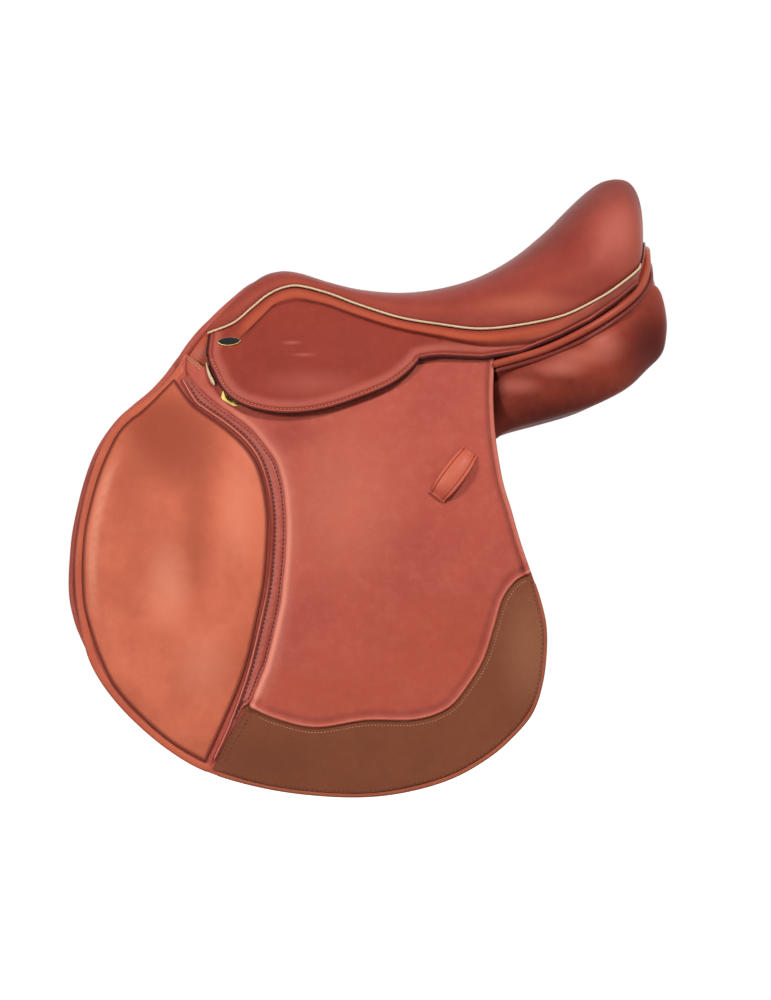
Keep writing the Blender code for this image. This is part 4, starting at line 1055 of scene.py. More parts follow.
def add_piece(name, form, look, body, replaced=(), blend=None, sharp=50.0):
    mesh = bpy.data.meshes.new(name)
    mesh.from_pydata((form.points * MM).tolist(), [], form.faces)
    mesh.materials.append(LOOKS[look])
    smooth_shaded(mesh, sharp)
    for stem, values in (("edge", form.edge), ("tone", form.tone)):
        mesh.attributes.new(stem, "FLOAT", "POINT").data.foreach_set("value", values.astype(np.float32))
    if form.normals:
        shaded = [tuple(n.vector) for n in mesh.vertex_normals]
        for i, normal in form.normals.items():
            shaded[i] = tuple(normal)
        mesh.normals_split_custom_set_from_vertices(shaded)
    piece = add_object(name, mesh)
    if blend:
        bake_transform(piece)
    else:
        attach(piece, body)
    if replaced:
        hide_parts(*replaced)
    return piece


def add_both(stem, form, look, body, replaced=(), blend=None, sharp=50.0):
    """The near piece and its mirror image. Bodies and nodes other than root get their side's name."""
    for side in SIDES:
        near = side == "near"
        rides = body if body == "root" else f"{body}_{side}"
        ends = None
        if blend:
            names = [b if b == "root" else f"{b}_{side}" for b in blend[:2]]
            places = [tuple(Vector(p if near else p * FLIP) * MM) for p in blend[2:]]
            ends = (*names, *places)
        piece = add_piece(f"{stem}_{side}_look", form if near else form.mirrored(), look, rides,
                          [f"{n}_{side}" for n in replaced], ends, sharp)


def add_stitches(stem, lines, offset, look, body, slot, **sizes):
    """Rows of stitches along lines of (x, z) points."""
    rows = [thread(*side_line(line, offset), **sizes) for line in lines]
    add_both(stem, joined(rows), look, body)


# Seat

def seat_normal(t, s):
    """Upward normal of the seat, of length 1."""
    step = 0.02
    along = seat_point(min(t + step, SEAM_END), s) - seat_point(max(t - step, 0), s)
    across = seat_point(t, min(s + step, 1)) - seat_point(t, max(s - step, 0))
    normal = np.cross(across, along)
    if s == 0:
        normal[1] = 0.0
    normal = unit(normal)
    return -normal if normal[2] < 0 else normal


def seat_grid(t_values, s_values, drop=0.0):
    """Points of the near half of the seat, moved in along the normal by drop, its front edge tucked in."""
    rows = []
    for t in t_values:
        row = []
        for s in s_values:
            point = seat_point(t, s) + SEAT_FRONT_DIP * max(1.0 - t, 0.0) ** 1.4 * (1.0 - s ** 6)
            if drop:
                point = point - drop * seat_normal(t, s)
                if s == 0:
                    point[1] = 0.0
            row.append(point * FLIP)
        rows.append(row)
    return np.array(rows)


def make_seat():
    t_values = np.linspace(0, SEAM_END, 120)
    s_values = np.sin(np.linspace(0, math.pi / 2, 44))
    cover = whole(grid_form(seat_grid(t_values, s_values), (0, 0, 1)))
    seam = np.array([seat_point(t, 1.0) * FLIP for t in t_values])
    seam = np.vstack([seam, seam[::-1] * FLIP])
    cover.edge = np.minimum(distance_3d(cover.points, seam), 60.0)
    x, y, _ = cover.points.T
    half_width = np.interp(x, [p[0] for p in RIM], [p[1] for p in RIM])
    half_width = np.maximum(half_width, np.where(x > 150.0, 80.0, 1.0))
    across = np.clip(np.abs(y) / half_width, 0.0, 1.0)
    # Painted shade over the top of the seat and in a thin line at the seam; painted highlight just inside
    # the seam where the side turns forward.
    cover.tone = (np.interp(across, (0.0, 0.6, 0.85, 0.97, 1.0), (-0.42, -0.34, -0.05, 0.3, 0.2))
                  - 0.8 * bell(cover.edge, 0.0, 1.6))
    piece = add_piece("seat_cover_look", thickened(cover, 2.5), "seat", "root",
                      ["seat_cover"])
    inner = seat_grid(np.linspace(1.6, 15.2, 60), 0.8 * s_values[::2] / s_values[-1], 5.0)
    filling = thickened(whole(grid_form(inner, (0, 0, 1))), 12.0)
    piece = add_piece("seat_foam_look", filling, "foam", "root", ["seat_foam"])


def both_ways(path):
    """A near-side path in (x, width, z) and its mirror image, joined on the middle plane."""
    near_half = np.array(path, float) * FLIP
    return np.vstack([near_half, near_half[-2::-1] * FLIP])


def make_piping():
    """The piping round the seam, which sinks into it behind the cantle."""
    path = []
    for t in np.linspace(-0.02, SEAM_END, 170):
        sunk = min(max((t - PIPING_END_T) / 0.5, 0.0), 1.0)
        sink = np.array((0, 0, -0.3 - 2.5 * sunk))
        path.append(at(RIM, t) + seam_outward(t) * (PIPING_OUT - 4.6 * sunk) + sink)
    path[-1][1] = 0.0
    form = rope(both_ways(path), PIPING_RADIUS, 10)
    add_piece("seat_piping_look", form, "piping", "root", ["seat_piping"])


def make_rolls():
    rolls = (("pommel_facing", FACING, 10, FACING_RADIUS, 14, "front_roll", "flap_leather"),
             ("cantle_roll_upper", ROLL_UPPER, 12, ROLL_RADII[0], 16, "roll", "flap_leather"),
             ("cantle_roll_lower", ROLL_LOWER, 12, ROLL_RADII[1], 12, "roll_dark", "panel_leather"))
    for node, line, per_span, radius, sides, look, slot in rolls:
        form = rope(both_ways(near_curve(line, per_span)), radius, sides)
        add_piece(f"{node}_look", form, look, "root", [node])


def bridged(first, second, shares, bulge):
    """Rows of points from one near-side curve to the other, which bulge midway."""
    return [[(a + (b - a) * share + np.array(bulge) * math.sin(math.pi * share)) * FLIP
             for share in shares] for a, b in zip(first, second)]


def make_cantle_back():
    """Leather behind the rolls, and from the lower roll down to the panel, bulging a little."""
    upper, lower, top, crest = (near_curve(line, 8)
                                for line in (ROLL_UPPER, ROLL_LOWER, LINING_TOP, PANEL_CREST))
    bulges = smooth_through([(b,) for b in BACK_BULGE], 8)[:, 0]
    ahead = np.gradient(lower, axis=0)
    outward = unit_rows(np.stack([-ahead[:, 1], ahead[:, 0], np.zeros(len(lower))], axis=1))
    rows = []
    for i, out in enumerate(outward):
        behind_upper = upper[i] - out * 2.0
        behind_lower = lower[i] - out * 0.8
        row = [top[i], (top[i] + behind_upper) / 2, behind_upper, (behind_upper + behind_lower) / 2,
               behind_lower]
        for share in np.linspace(0, 1, 13)[1:]:
            point = behind_lower + (crest[i] - behind_lower) * share
            row.append(point + out * bulges[i] * math.sin(math.pi * share ** 0.8) ** 0.8)
        rows.append(np.array(row) * FLIP)
    form = thickened(whole(grid_form(rows, (0.3, -1, 0.3))), 2.0)
    add_piece("cantle_gusset_look", form, "panel", "root", ["cantle_gusset"])


def make_head():
    """Leather on the side of the head between facing and skirt, and the lining under the arch."""
    facing = near_curve(FACING, 8)
    rows = bridged(facing, smooth_through(HEAD_SIDE, 8), np.linspace(0, 1, 11), (0, 2.0, 0))
    form = grid_form(rows, (-0.3, -1, 0))
    form.tone[:] = 0.35
    add_both("head_side", thickened(form, 2.5), "roll", "root")
    arch = near_curve(ARCH_BACK, 8)
    rows = bridged(facing[-len(arch):], arch, np.linspace(0.02, 1, 10), (0, 0, -1.5))
    form = thickened(whole(grid_form(rows, (0, 0.3, -1))), 2.0)
    add_piece("arch_lining_look", form, "strap", "root")


# Skirts

def band_line(t):
    """Where the fixed skirt ends in front, and a margin above its lower edge behind."""
    front = [(i, x, hinge_width(x) + HINGE_OFFSET, HINGE_Z) for i, x in enumerate(BAND_FRONT_X)]
    rear = [(key, x, width, z + (HINGE_Z - z if i == 0 else 5.0))
            for i, (key, x, width, z) in enumerate(BAND_REAR)]
    keys = np.array(front + rear, float)
    return looked_up([t], keys[:, 0], keys[:, 1:])[0]


def band_foot(t):
    """The lower edge of the fixed skirt behind the hinge line."""
    keys = np.array(((BAND_SPLIT, 14.3, 118.9, 74.7), *BAND_REAR), float)
    return looked_up([t], keys[:, 0], keys[:, 1:])[0]


def band_column(t, shares):
    """A smooth curve down the band, leaving the seam outwards and reaching the line in the side's slope."""
    taper = min(1.0, max(BAND_REAR_T - t, 0.0) / 1.5)
    start = at(RIM, t) + seam_outward(t) * 2.0 + np.array((0.0, 0.0, -0.8 - 1.4 * taper))
    line = band_line(t)
    foot_slope = unit(np.array(BAND_HANG) if t <= BAND_HANG_T else band_foot(t) - line)
    chord = np.linalg.norm(line - start)
    head = unit((line - start) / max(chord, 1e-6) + seam_outward(t) * 0.5)
    points = []
    for v in shares:
        h00, h10 = 2 * v ** 3 - 3 * v ** 2 + 1, v ** 3 - 2 * v ** 2 + v
        h01, h11 = -2 * v ** 3 + 3 * v ** 2, v ** 3 - v ** 2
        points.append(start * h00 + head * chord * h10 + line * h01 + foot_slope * chord * h11)
    return np.array(points), start


def make_band():
    """The fixed skirt. Gives back the x of its points on the hinge line."""
    shares = np.concatenate([np.linspace(0, 0.5, 22), np.linspace(0.5, 1.0, 14)[1:]])
    lower = (0.2, 0.45, 0.7, 0.88, 1.0)
    front_t = np.arange(0.02, BAND_SPLIT - 0.01, 0.1)
    rear_t = np.concatenate([[BAND_SPLIT], np.arange(BAND_SPLIT + 0.1, BAND_END - 0.05, 0.1)])
    crease = np.array(CREASE, float)
    rows, tones = [], []
    for t in np.concatenate([front_t, rear_t]):
        points, start = band_column(t, shares)
        drop, strength = looked_up([points[0][0]], crease[:, 0], crease[:, 1:])[0]
        fall = start[2] - points[:, 2]
        within = np.clip(fall / drop, 0.0, 1.0)
        roll = 3.0 * np.sin(math.pi * within) ** 0.7 * (fall < drop)
        points += seam_outward(t) * (strength * (roll - 2.4 * bell(fall, drop, 1.8)))[:, None]
        rows.append(points)
        # Painted highlight on the rolled strip under the piping, painted shade in the crease below it.
        painted_highlight = 0.6 * np.sin(math.pi * within) * (fall < drop)
        tones.append(strength * (painted_highlight - 0.62 * bell(fall, drop, 1.3)))
    feet = []
    for t in rear_t:
        line, foot = band_line(t), band_foot(t)
        feet.append(np.array([line + (foot - line) * share for share in lower]))
    columns, count = len(shares), len(shares) * len(rows)
    ends = np.arange(columns - 1, count, columns)
    below = count + np.arange(len(feet) * len(lower)).reshape(-1, len(lower))
    table = np.column_stack([ends[len(front_t):], below]).ravel()
    faces = grid_faces(len(rows), columns)
    faces += [table[list(face)].tolist() for face in grid_faces(len(feet), len(lower) + 1)]
    points = np.vstack(rows + feet) * FLIP
    form = turned(Form(points, faces, tone=np.concatenate(tones + [np.zeros(below.size)])), (0, -1, 0))
    rear_edge = np.array([foot[-1] for foot in feet]) * FLIP
    form.edge = np.minimum(distance_3d(points, rows[0] * FLIP), distance_3d(points, rear_edge))
    on_hinge = [int(i) for i in ends[:len(front_t) + 1]]
    form.normals = {i: hinge_normal(points[i][0]) for i in on_hinge}
    add_both("skirt_band", thickened(form, 3.5, 0.4), "skirt", "root", ["skirt_band"])
    return [points[i][0] for i in on_hinge]


def make_skirt(hinge_x):
    edge = evenly(smooth_through(SKIRT_EDGE[:-1], 12), 2.5)
    edge[0] = (hinge_x[0], HINGE_Z)
    edge = np.vstack([edge, [(hinge_x[-1], HINGE_Z)]])
    loop = np.vstack([edge, [(x, HINGE_Z) for x in hinge_x[-2:0:-1]]])

    def outer(x, z, d):
        groove = 0.9 * bell(d, 5.0, 1.1)
        puff = 1.3 * bell(d, 10.0, 5.0) * np.clip((HINGE_Z - z) / 15.0, 0, 1)
        lip = 0.5 * bell(d, 2.2, 1.6)
        fade = np.clip((HINGE_Z - z) / 4.0, 0.0, 1.0)
        return HINGE_OFFSET + (puff + lip - groove) * fade

    rings = (0.4, 1.0, 1.8, 2.8, 3.8, 4.5, 5.0, 5.5, 6.3, 8.0, 10.0)
    form = draped([loop], SKIRT_BACK, outer, 4.0, rings, 2.4, edge[:-1])
    x, y, z = form.points.T
    meets_band = (np.abs(z - HINGE_Z) < 0.01) & (np.abs(-y - hinge_width(x) - HINGE_OFFSET) < 0.3)
    form.normals = {int(i): hinge_normal(x[i]) for i in np.flatnonzero(meets_band)}
    add_both("skirt", form, "skirt", "skirt", ["skirt"])
    add_stitches("skirt_stitches", [inset_path(edge[2:-3], -5.0)], HINGE_OFFSET - 0.4, "thread_pale",
                 "skirt", "flap_leather")
    line, _ = side_line(smooth_through(((-192.3, 72), (-189.6, 62), (-184.4, 51.5)), 8), 9.0)
    radius = np.interp(np.linspace(0, 1, len(line)), (0.0, 0.6, 0.9, 1.0), (0.9, 1.7, 2.0, 1.2))
    add_both("piping_tail", rope(line, radius, 10), "piping", "skirt")


def make_nail_plate():
    """A domed oval on the band, square to it."""
    t, shares = 0.93, (0.52, 0.6, 0.68)
    column, before, after = (band_column(t + shift, shares)[0] * FLIP for shift in (0.0, -0.2, 0.2))
    centre = column[1]
    out = unit(np.cross(unit(column[2] - column[0]), unit(after[1] - before[1])))
    if out[1] > 0:
        out = -out
    ahead = unit(np.array((1.0, 0.0, 0.0)) - out * out[0])
    across = np.cross(out, ahead)
    half_long, half_high = 11.0, 4.5

    def oval(inset_long, inset_high, lift, share=1.0, count=40):
        long, high = (half_long - inset_long) * share, (half_high - inset_high) * share
        return np.array([centre + ahead * math.cos(a) * long + out * lift
                         + across * math.copysign(abs(math.sin(a)) ** 1.35, math.sin(a)) * high
                         for a in turns(count)])

    rings = [oval(0, 0, -1.0), oval(0, 0, 1.3), oval(0.9, 0.8, 1.7)]
    rings += [oval(1.4, 1.2, 1.7 + 0.35 * (1 - share), share) for share in (0.8, 0.5, 0.2)]
    add_both("nail_plate", lofted(rings), "enamel", "root", ["nail_plate"])
    rim = rope(oval(-0.1, -0.1, 0.7, count=60), 0.4, 8, closed=True)
    add_both("nail_plate_rim", rim, "brass", "root")


# Flaps

def make_flap():
    outline = rounded(FLAP_OUTLINE, FLAP_CORNERS)
    slot = rounded(SLOT_OUTLINE, (0, 1, 2, 3))
    form = draped([outline, slot], *FLAP_LAYER, 7.0, (0.6, 1.6), 2.0)
    add_both("flap", form, "flap", "flap", ["flap"])
    front = smooth_through(FACE_FRONT, 12)
    patch_top = smooth_through(PATCH_OUTLINE[:PATCH_TOP], 12)
    rear = smooth_through(FLAP_OUTLINE[FLAP_REAR], 12)
    above_patch = inset_path(patch_top[::-1], 0.6)[2:-1]
    loop = closed_evenly(np.vstack([front, above_patch, inset_path(rear[::-1], -0.4)[1:-1], FACE_TOP]), 2.6)

    def low(x, z, d):
        return FLAP_FACE_LAYER[0] + 1.7 * bell(path_distance(x, z, patch_top), 0.0, 4.0)

    def high(x, z, d):
        ridge = 2.0 * bell(path_distance(x, z, front), 4.5, 3.6)
        near_patch = 1.8 * bell(path_distance(x, z, patch_top), 0.0, 4.0)
        rim = 0.5 - 0.5 * np.tanh((path_distance(x, z, rear) - 4.6) / 0.7)
        return FLAP_FACE_LAYER[1] + ridge + near_patch + rim

    def tone(x, z, d):
        # Painted highlights on the ridge beside the welt and on the lip above the patch, a paler strip along
        # the rear rim, and painted shade in the dips beside them and along the welt.
        from_front, from_patch, from_rear = (path_distance(x, z, p) for p in (front, patch_top, rear))
        height = np.interp(z, (-200.0, -60.0, 20.0, 55.0), (1.0, 0.7, 0.55, 0.1))
        painted_highlight = (height * (0.7 * bell(from_front, 3.6, 3.0) + 0.3 * bell(from_front, 8.0, 8.0))
                + 0.6 * bell(from_patch, 1.2, 1.1) + 0.45 * (from_rear < 4.4))
        dark = (0.42 * bell(from_patch, 6.0, 4.0) + 0.45 * bell(from_rear, 6.5, 3.0)
                + 0.6 * bell(from_front, 0.0, 0.8))
        return np.clip(painted_highlight - dark, -1.0, 1.0)

    rings = (0.4, 1.0, 1.8, 2.8, 3.8, 4.5, 5.0, 6.5, 8.5, 11.0)
    face = draped([loop, slot], low, high, 4.5, rings, 2.2, tone=tone)
    add_both("flap_face", face, "face", "flap")
    rear_line = inset_path(evenly(rear, 2.0), 5.2)[2:-3]
    add_stitches("flap_face_stitches", [rear_line], 6.5, "thread", "flap", "flap_leather", **FINE_STITCH)
    rows = [rope(side_line(line, lambda x, z: high(x, z, None))[0], 0.5, 8)
            for line in (((-211.2, 79.2), (-197.0, 68.2)), ((-211.0, 76.4), (-198.4, 66.6)))]
    add_both("flap_top_stitches", joined(rows), "thread_pale", "flap")


def make_flap_top():
    """The flap's leather above the hinge line, between the tree and the flap, fixed where it is made."""
    rows = []
    for t in np.linspace(0.1, 9.6, 60):
        column, _ = band_column(t, (0.4, 0.6, 0.8, 1.0))
        x = column[-1][0]
        foot = (x, hinge_width(x) + FLAP_LAYER[1], 79.8)
        row = [*(column[:3] - [(0, 5.0, 1.0), (0, 5.8, 0), (0, 7.2, 0)]), foot]
        rows.append(smooth_through(np.array(row) * FLIP, 5))
    form = thickened(grid_form(rows, (0, -1, 0)), 1.4)
    add_both("flap_top", form, "flap", "root",
             blend=("root", "flap", (-60, -99.0, 100.0), (-60, -99.0, 82.0)))


def binding_form(path, width):
    """A rounded leather strip folded round the flap's rim."""
    section = [(0.98, -0.5), (0.5, -0.8), (0.12, -0.7), (-0.02, 0.4), (-0.06, 2.2), (-0.02, 4.0),
               (0.12, 5.2), (0.3, 5.6), (0.55, 5.4), (0.85, 4.9), (1.0, 4.2), (1.0, 1.0)]
    steps = np.arange(len(path))
    taper = np.clip(np.minimum(steps, steps[::-1]) / 2.0, 0.15, 1.0)
    rings = []
    for point, side, size in zip(path, right_of(path), taper):
        ring = []
        for u, v in section:
            x, z = point + side * (0.5 + (u - 0.5) * size) * width
            ring.append(on_side(x, z, 2.2 + (v - 2.2) * size))
        rings.append(ring)
    return lofted(rings)


def make_binding():
    """The flap's bound edge: brown along the patch, then red round the front."""
    order = FLAP_OUTLINE[FLAP_RIM_START:] + FLAP_OUTLINE[:1]
    path = evenly(smooth_through(order, 12), 3.0)[2:-3]
    split = int(np.argmin(np.linalg.norm(path - PATCH_OUTLINE[PATCH_FOOT], axis=1)))
    rear, front = binding_form(path[:split + 1], 4.2), binding_form(path[split:], 7.2)
    add_both("flap_binding_rear", rear, "patch_edge", "flap")
    add_both("flap_binding", front, "binding", "flap")


def knee_profile(x, z, d):
    """The knee pad's outer face: it rises from its seam, with a groove beside the stitches."""
    rise = np.sin(np.clip(d / 24.0, 0, 1) * math.pi / 2)
    soft = 0.35 * np.sin(x / 23.0 + z / 31.0) * np.clip(d / 20.0, 0, 1)
    return KNEE_SEAM + 4.5 * rise + soft - 0.5 * bell(d, 2.6, 0.9)


def make_knee_pad():
    loop = rounded(KNEE_OUTLINE, KNEE_CORNERS)
    left = smooth_through(KNEE_OUTLINE[:13], 8)

    def tone(x, z, d):
        # Painted highlight along the bulge about 10 mm in from the pad's front edge, fading out towards top
        # and bottom.
        painted_highlight = 0.8 * bell(path_distance(x, z, left), 10.0, 5.0)
        return painted_highlight * np.clip(-z / 40.0, 0.0, 1.0) * np.clip((z + 195.0) / 70.0, 0.0, 1.0)

    rings = (0.4, 1.0, 1.7, 2.2, 2.6, 3.0, 3.7, 5.0, 7.5)
    form = draped([loop], ON_FLAP, knee_profile, 5.0, rings, 1.4, tone=tone)
    add_both("knee_pad", form, "knee", "flap", ["knee_pad"])
    front = evenly(smooth_through(KNEE_OUTLINE[:KNEE_CORNERS[1] + 1], 12), 2.0)
    add_stitches("knee_pad_stitches", [inset_path(front, -2.6)[3:-3]], 5.75, "thread", "flap",
                 "knee_leather", pitch=3.3, length=2.3)


def make_welt():
    loop = rounded(WELT_LEFT + WELT_RIGHT, WELT_CORNERS, 2.5)
    left = smooth_through(WELT_LEFT, 12)
    right = smooth_through(WELT_RIGHT, 12)[::-1]

    def high(x, z, d):
        from_left, from_right = path_distance(x, z, left), path_distance(x, z, right)
        ridge = 1.7 * bell(from_left, 1.5, 1.1)
        grooves = 0.8 * bell(from_left, 4.4, 0.9) + 0.8 * bell(from_right, 3.4, 0.8)
        return WELT_FACE + ridge - grooves + 0.5 * bell(from_left, 8.5, 2.5)

    def tone(x, z, d):
        from_left, from_right = path_distance(x, z, left), path_distance(x, z, right)
        # Painted highlight on the left ridge and a paler middle strip lower down; painted shade in the
        # grooves beside the stitches and at the left edge.
        below = np.clip((20.0 - z) / 60.0, 0.0, 1.0)
        highlight_strength = 1.0 - bell(z, -95.0, 50.0)
        painted_highlight = highlight_strength * bell(from_left, 1.5, 0.8) + 0.35 * below * bell(from_left, 8.0, 2.0)
        dark = 0.6 * bell(from_left, 3.6, 1.6) + 0.3 * bell(from_right, 3.2, 0.9)
        return np.clip(painted_highlight - dark - 0.5 * bell(from_left, 0.0, 0.6), -1.0, 1.0)

    rings = (0.4, 0.9, 1.5, 2.2, 2.8, 3.4, 4.2, 5.0, 5.8)
    form = draped([loop], ON_FLAP, high, 2.6, rings, 1.0, tone=tone)
    add_both("flap_welt", form, "welt", "flap", ["flap_welt"])
    lines = (inset_path(left, -4.6)[6:-14], inset_path(right, 3.4)[6:-20])
    add_stitches("flap_welt_stitches", lines, 6.0, "thread", "flap", "flap_leather", **BOLD_STITCH,
                 radius=0.6)


def make_patch():
    loop = rounded(PATCH_OUTLINE, PATCH_CORNERS)
    form = draped([loop], ON_FLAP, PATCH_FACE, 6.0, (0.4, 1.0, 2.0), 0.8)
    add_both("flap_patch", form, "patch", "flap", ["flap_patch"])
    outer = smooth_through(PATCH_OUTLINE[PATCH_FOOT:] + PATCH_OUTLINE[:1], 12)
    top = smooth_through(PATCH_OUTLINE[:PATCH_TOP], 12)
    front = smooth_through(PATCH_OUTLINE[11:15], 12)
    lines = (inset_path(outer, -1.8)[3:-5], inset_path(front, -2.2)[3:-3], inset_path(front, -7.2)[5:-5])
    add_stitches("flap_patch_stitches", lines, PATCH_FACE, "thread", "flap", "patch_leather",
                 **BOLD_STITCH, radius=0.5)
    add_stitches("flap_patch_seam", [inset_path(top, -5.5)[6:-6]], PATCH_FACE, "thread_brown", "flap",
                 "patch_leather", pitch=3.0, length=2.1, radius=0.38)


def make_keeper():
    """A strap that arches between its sewn ends."""
    start, end = np.array(KEEPER_PATH, float)
    ahead = unit(end - start)
    across = np.array((ahead[1], -ahead[0]))
    half, thickness = 9.0, 2.2
    right = ((0.6, 0.6), (0.68, 0.3), (0.76, 0.62), (0.88, 0.6), (0.97, 0.35), (1, -0.3), (0.5, -0.5))
    outline = ((-1, -0.3), (-0.97, 0.35), (-0.88, 0.6), (-0.76, 0.62), (-0.68, 0.3), (-0.6, 0.6),
               (0, 0.7), *right, (-0.5, -0.5))
    rings, tone = [], []
    for share in np.linspace(0, 1, 41):
        lift = max(0.0, 1.0 - abs((share - 0.5) / 0.46) ** 2.4)
        offset = 7.4 + 7.6 * lift ** 0.75
        middle = start + (end - start) * share
        section = []
        for u, v in outline:
            x, z = middle + across * half * (1.0 + 0.24 * lift) * u
            section.append(on_side(x, z, offset + v * thickness))
            # Painted shade in the two crease lines and on the edges and underside, painted highlight on the
            # arched top.
            tone.append(-0.85 if abs(u) == 0.68 else 0.5 * lift if v > 0.55 else -0.4)
        rings.append(section)
    form = lofted(rings)
    form.tone = np.array(tone)
    add_both("keeper_loop", form, "keeper", "flap", ["keeper_loop"])
    lines = [[start + (end - start) * share + across * u for u in np.linspace(-8.4, 8.4, 12)]
             for share in (0.035, 0.965)]
    add_stitches("keeper_loop_stitches", lines, 8.95, "thread", "flap", "flap_leather", **FINE_STITCH)


# Dees

def dee_frame():
    """Top middle of the front dee, its bar's direction and the way it hangs."""
    x, z = DEE_CENTRE[0], DEE_CENTRE[1] + DEE_DROP / 2
    top = on_side(x, z, DEE_BAR_OFFSET)
    bar = unit(top - on_side(x - 10, z, DEE_BAR_OFFSET))
    drop = on_side(x, z - DEE_DROP, DEE_TIP_OFFSET) - top
    return top, bar, unit(drop - bar * np.dot(bar, drop))


def make_dee():
    """A flat-bottomed ring: round wire at its bar, broad and flat where it hangs out."""
    top, bar, down = dee_frame()
    half, side, drop, shift = DEE_LOOK
    points = [top + bar * (along + shift) for along in np.linspace(-half, half, 12)]
    for angle in np.radians(np.arange(0, 181, 6)):
        bend = (math.copysign(abs(math.cos(angle)) ** 0.6, math.cos(angle)), math.sin(angle) ** 0.8)
        points.append(top + bar * (half * bend[0] + shift) + down * (side + (drop - side) * bend[1]))
    ring = closed_evenly(np.array(points), 1.4)
    for _ in range(3):
        ring = (np.roll(ring, 1, axis=0) + ring * 2 + np.roll(ring, -1, axis=0)) / 4
    out = unit(np.cross(bar, down))
    rings = []
    for point, along in zip(ring, loop_ahead(ring)):
        across = np.cross(along, out)
        flat = np.clip((np.dot(point - top, down) - side) / (drop - side), 0.0, 1.0)
        broad = DEE_WIRE + DEE_FLARE * flat
        rings.append([point + across * broad * math.cos(a) + out * DEE_WIRE * math.sin(a)
                      for a in turns(DEE_SIDES)])
    add_both("front_dee", lofted(rings, closed=True), "brass", "dee", ["front_dee"])


def make_chape():
    """A leather tab on the flap and the loop of it that holds the dee's bar."""
    top, bar, down = dee_frame()
    out = np.cross(bar, down)

    def tab_width(x, z):
        return side_width(-171.0, 56.0) + 0.07 * (x + 171.0) + 0.42 * (56.0 - z)

    corners = ((-179, 56.5), (-163, 56.5), (-163, 74), (-179, 74))
    tab = draped([rounded(corners, (0, 1, 2, 3), 2.0)], *CHAPE_LAYER, 3.0, (0.4, 0.9), 0.9,
                 width=tab_width)
    half, radius = 8.0, 2.6
    angles = np.radians(range(0, 360, 24))
    rings = [[top + bar * along + (down * math.cos(a) + out * math.sin(a)) * radius for a in angles]
             for along in np.linspace(-half, half, 9)]
    add_both("dee_chape", joined([tab, lofted(rings)]), "strap", "flap", ["dee_chape"])


# Under the flap

def make_sweat_flap():
    rest = smooth_through(SWEAT_REST, 6)
    front = inset_path(smooth_through(FRONT_ROLL, 6), 5.0)[::-1]
    loop = closed_evenly(np.vstack([rest, front[1:]]), 4.0)
    form = draped([loop], *SWEAT_LAYER, 9.0, (0.6, 1.6), 1.4)
    add_both("sweat_flap", form, "flap", "root", ["sweat_flap"])
    line = inset_path(loop[4:len(rest) // 2], -6.0)
    add_stitches("sweat_flap_stitches", [line], SWEAT_LAYER[1], "thread", "root", "flap_leather")


def make_front_roll():
    path = smooth_through(FRONT_ROLL, 10)
    x, z = path.T
    run = np.linspace(0, 1, len(path))
    radius = FRONT_ROLL_RADIUS * np.clip(np.minimum(run * 9 + 0.45, (1 - run) * 12 + 0.5), 0, 1)
    form = rope(on_side(x, z, FRONT_ROLL_MIDDLE), radius, 14)
    add_both("front_roll", form, "front_roll", "root", ["front_roll"])


def make_knee_block():
    back, face = KNEE_BLOCK_LAYER

    def high(x, z, d):
        return face + 7.6 * np.sin(np.clip(d / 16.0, 0, 1) * math.pi / 2)

    form = draped([rounded(KNEE_BLOCK_OUTLINE, ())], back, high, 4.0, (0.4, 1.0, 2.0, 3.5), 1.5)
    add_both("knee_block", form, "knee", "root", ["knee_block"])


def make_billets():
    """The three girth straps: pointed, with eight holes and a crease along each edge."""
    half = BILLET_WIDTH / 2
    back, face = BILLET_LAYER
    angles = turns(14)
    for index, centre in enumerate(BILLET_X):
        outline = [(centre + half * share, z) for share, z in (
            (-1, BILLET_TOP), (1, BILLET_TOP), (1, BILLET_TIP + 26), (0.72, BILLET_TIP + 9),
            (0, BILLET_TIP), (-0.72, BILLET_TIP + 9), (-1, BILLET_TIP + 26))]
        holes = [np.stack([centre + 2.0 * np.cos(angles), BILLET_TIP + 40 + 23.0 * k + 2.4 * np.sin(angles)],
                          axis=1) for k in range(8)]

        def high(x, z, d, centre=centre):
            return face - 0.35 * bell(np.abs(x - centre), half - 2.6, 0.5)

        loops = [rounded(outline, (0, 1, 2, 6), 3.0)] + holes
        form = draped(loops, back, high, 5.0, (0.4, 1.0, 2.1, 2.6, 3.1), 1.0)
        name = f"billet_{index + 1}"
        add_both(name, form, "strap", name, [name])


def make_guard():
    """Two leathers with the straps between them, the front one raised over each strap."""
    first, last = BILLET_X[0] - 19.0, BILLET_X[-1] + 19.0
    outline = [(first, GUARD_TOP), (last, GUARD_TOP), (last, GUARD_BOTTOM + 14),
               (last - 5, GUARD_BOTTOM + 3), (last - 16, GUARD_BOTTOM), (first + 16, GUARD_BOTTOM),
               (first + 5, GUARD_BOTTOM + 3), (first, GUARD_BOTTOM + 14)]
    loop = rounded(outline, (0, 1, 2, 7))
    back, face = GUARD_FRONT

    def high(x, z, d):
        nearest = np.abs(x[:, None] - np.array(BILLET_X)).min(axis=1)
        return face + (0.9 * (1 - np.clip((nearest - 12.6) / 2.4, 0, 1)) - 0.9)

    forms = [draped([loop], back, high, 3.0, (0.4, 1.0), 0.8),
             draped([loop], *GUARD_BACK, 8.0, (0.4, 1.0), 0.7)]
    add_both("buckle_guard", joined(forms), "strap", "guard", ["buckle_guard"])
    lines = [[(x, GUARD_TOP - 4), (x, GUARD_BOTTOM + 10)]
             for x in (first + 3, BILLET_X[0] + 17.5, BILLET_X[1] + 17.5, last - 3)]
    add_stitches("buckle_guard_stitches", lines, -3.9, "thread", "guard", "strap_leather", pitch=3.2,
                 length=2.2)


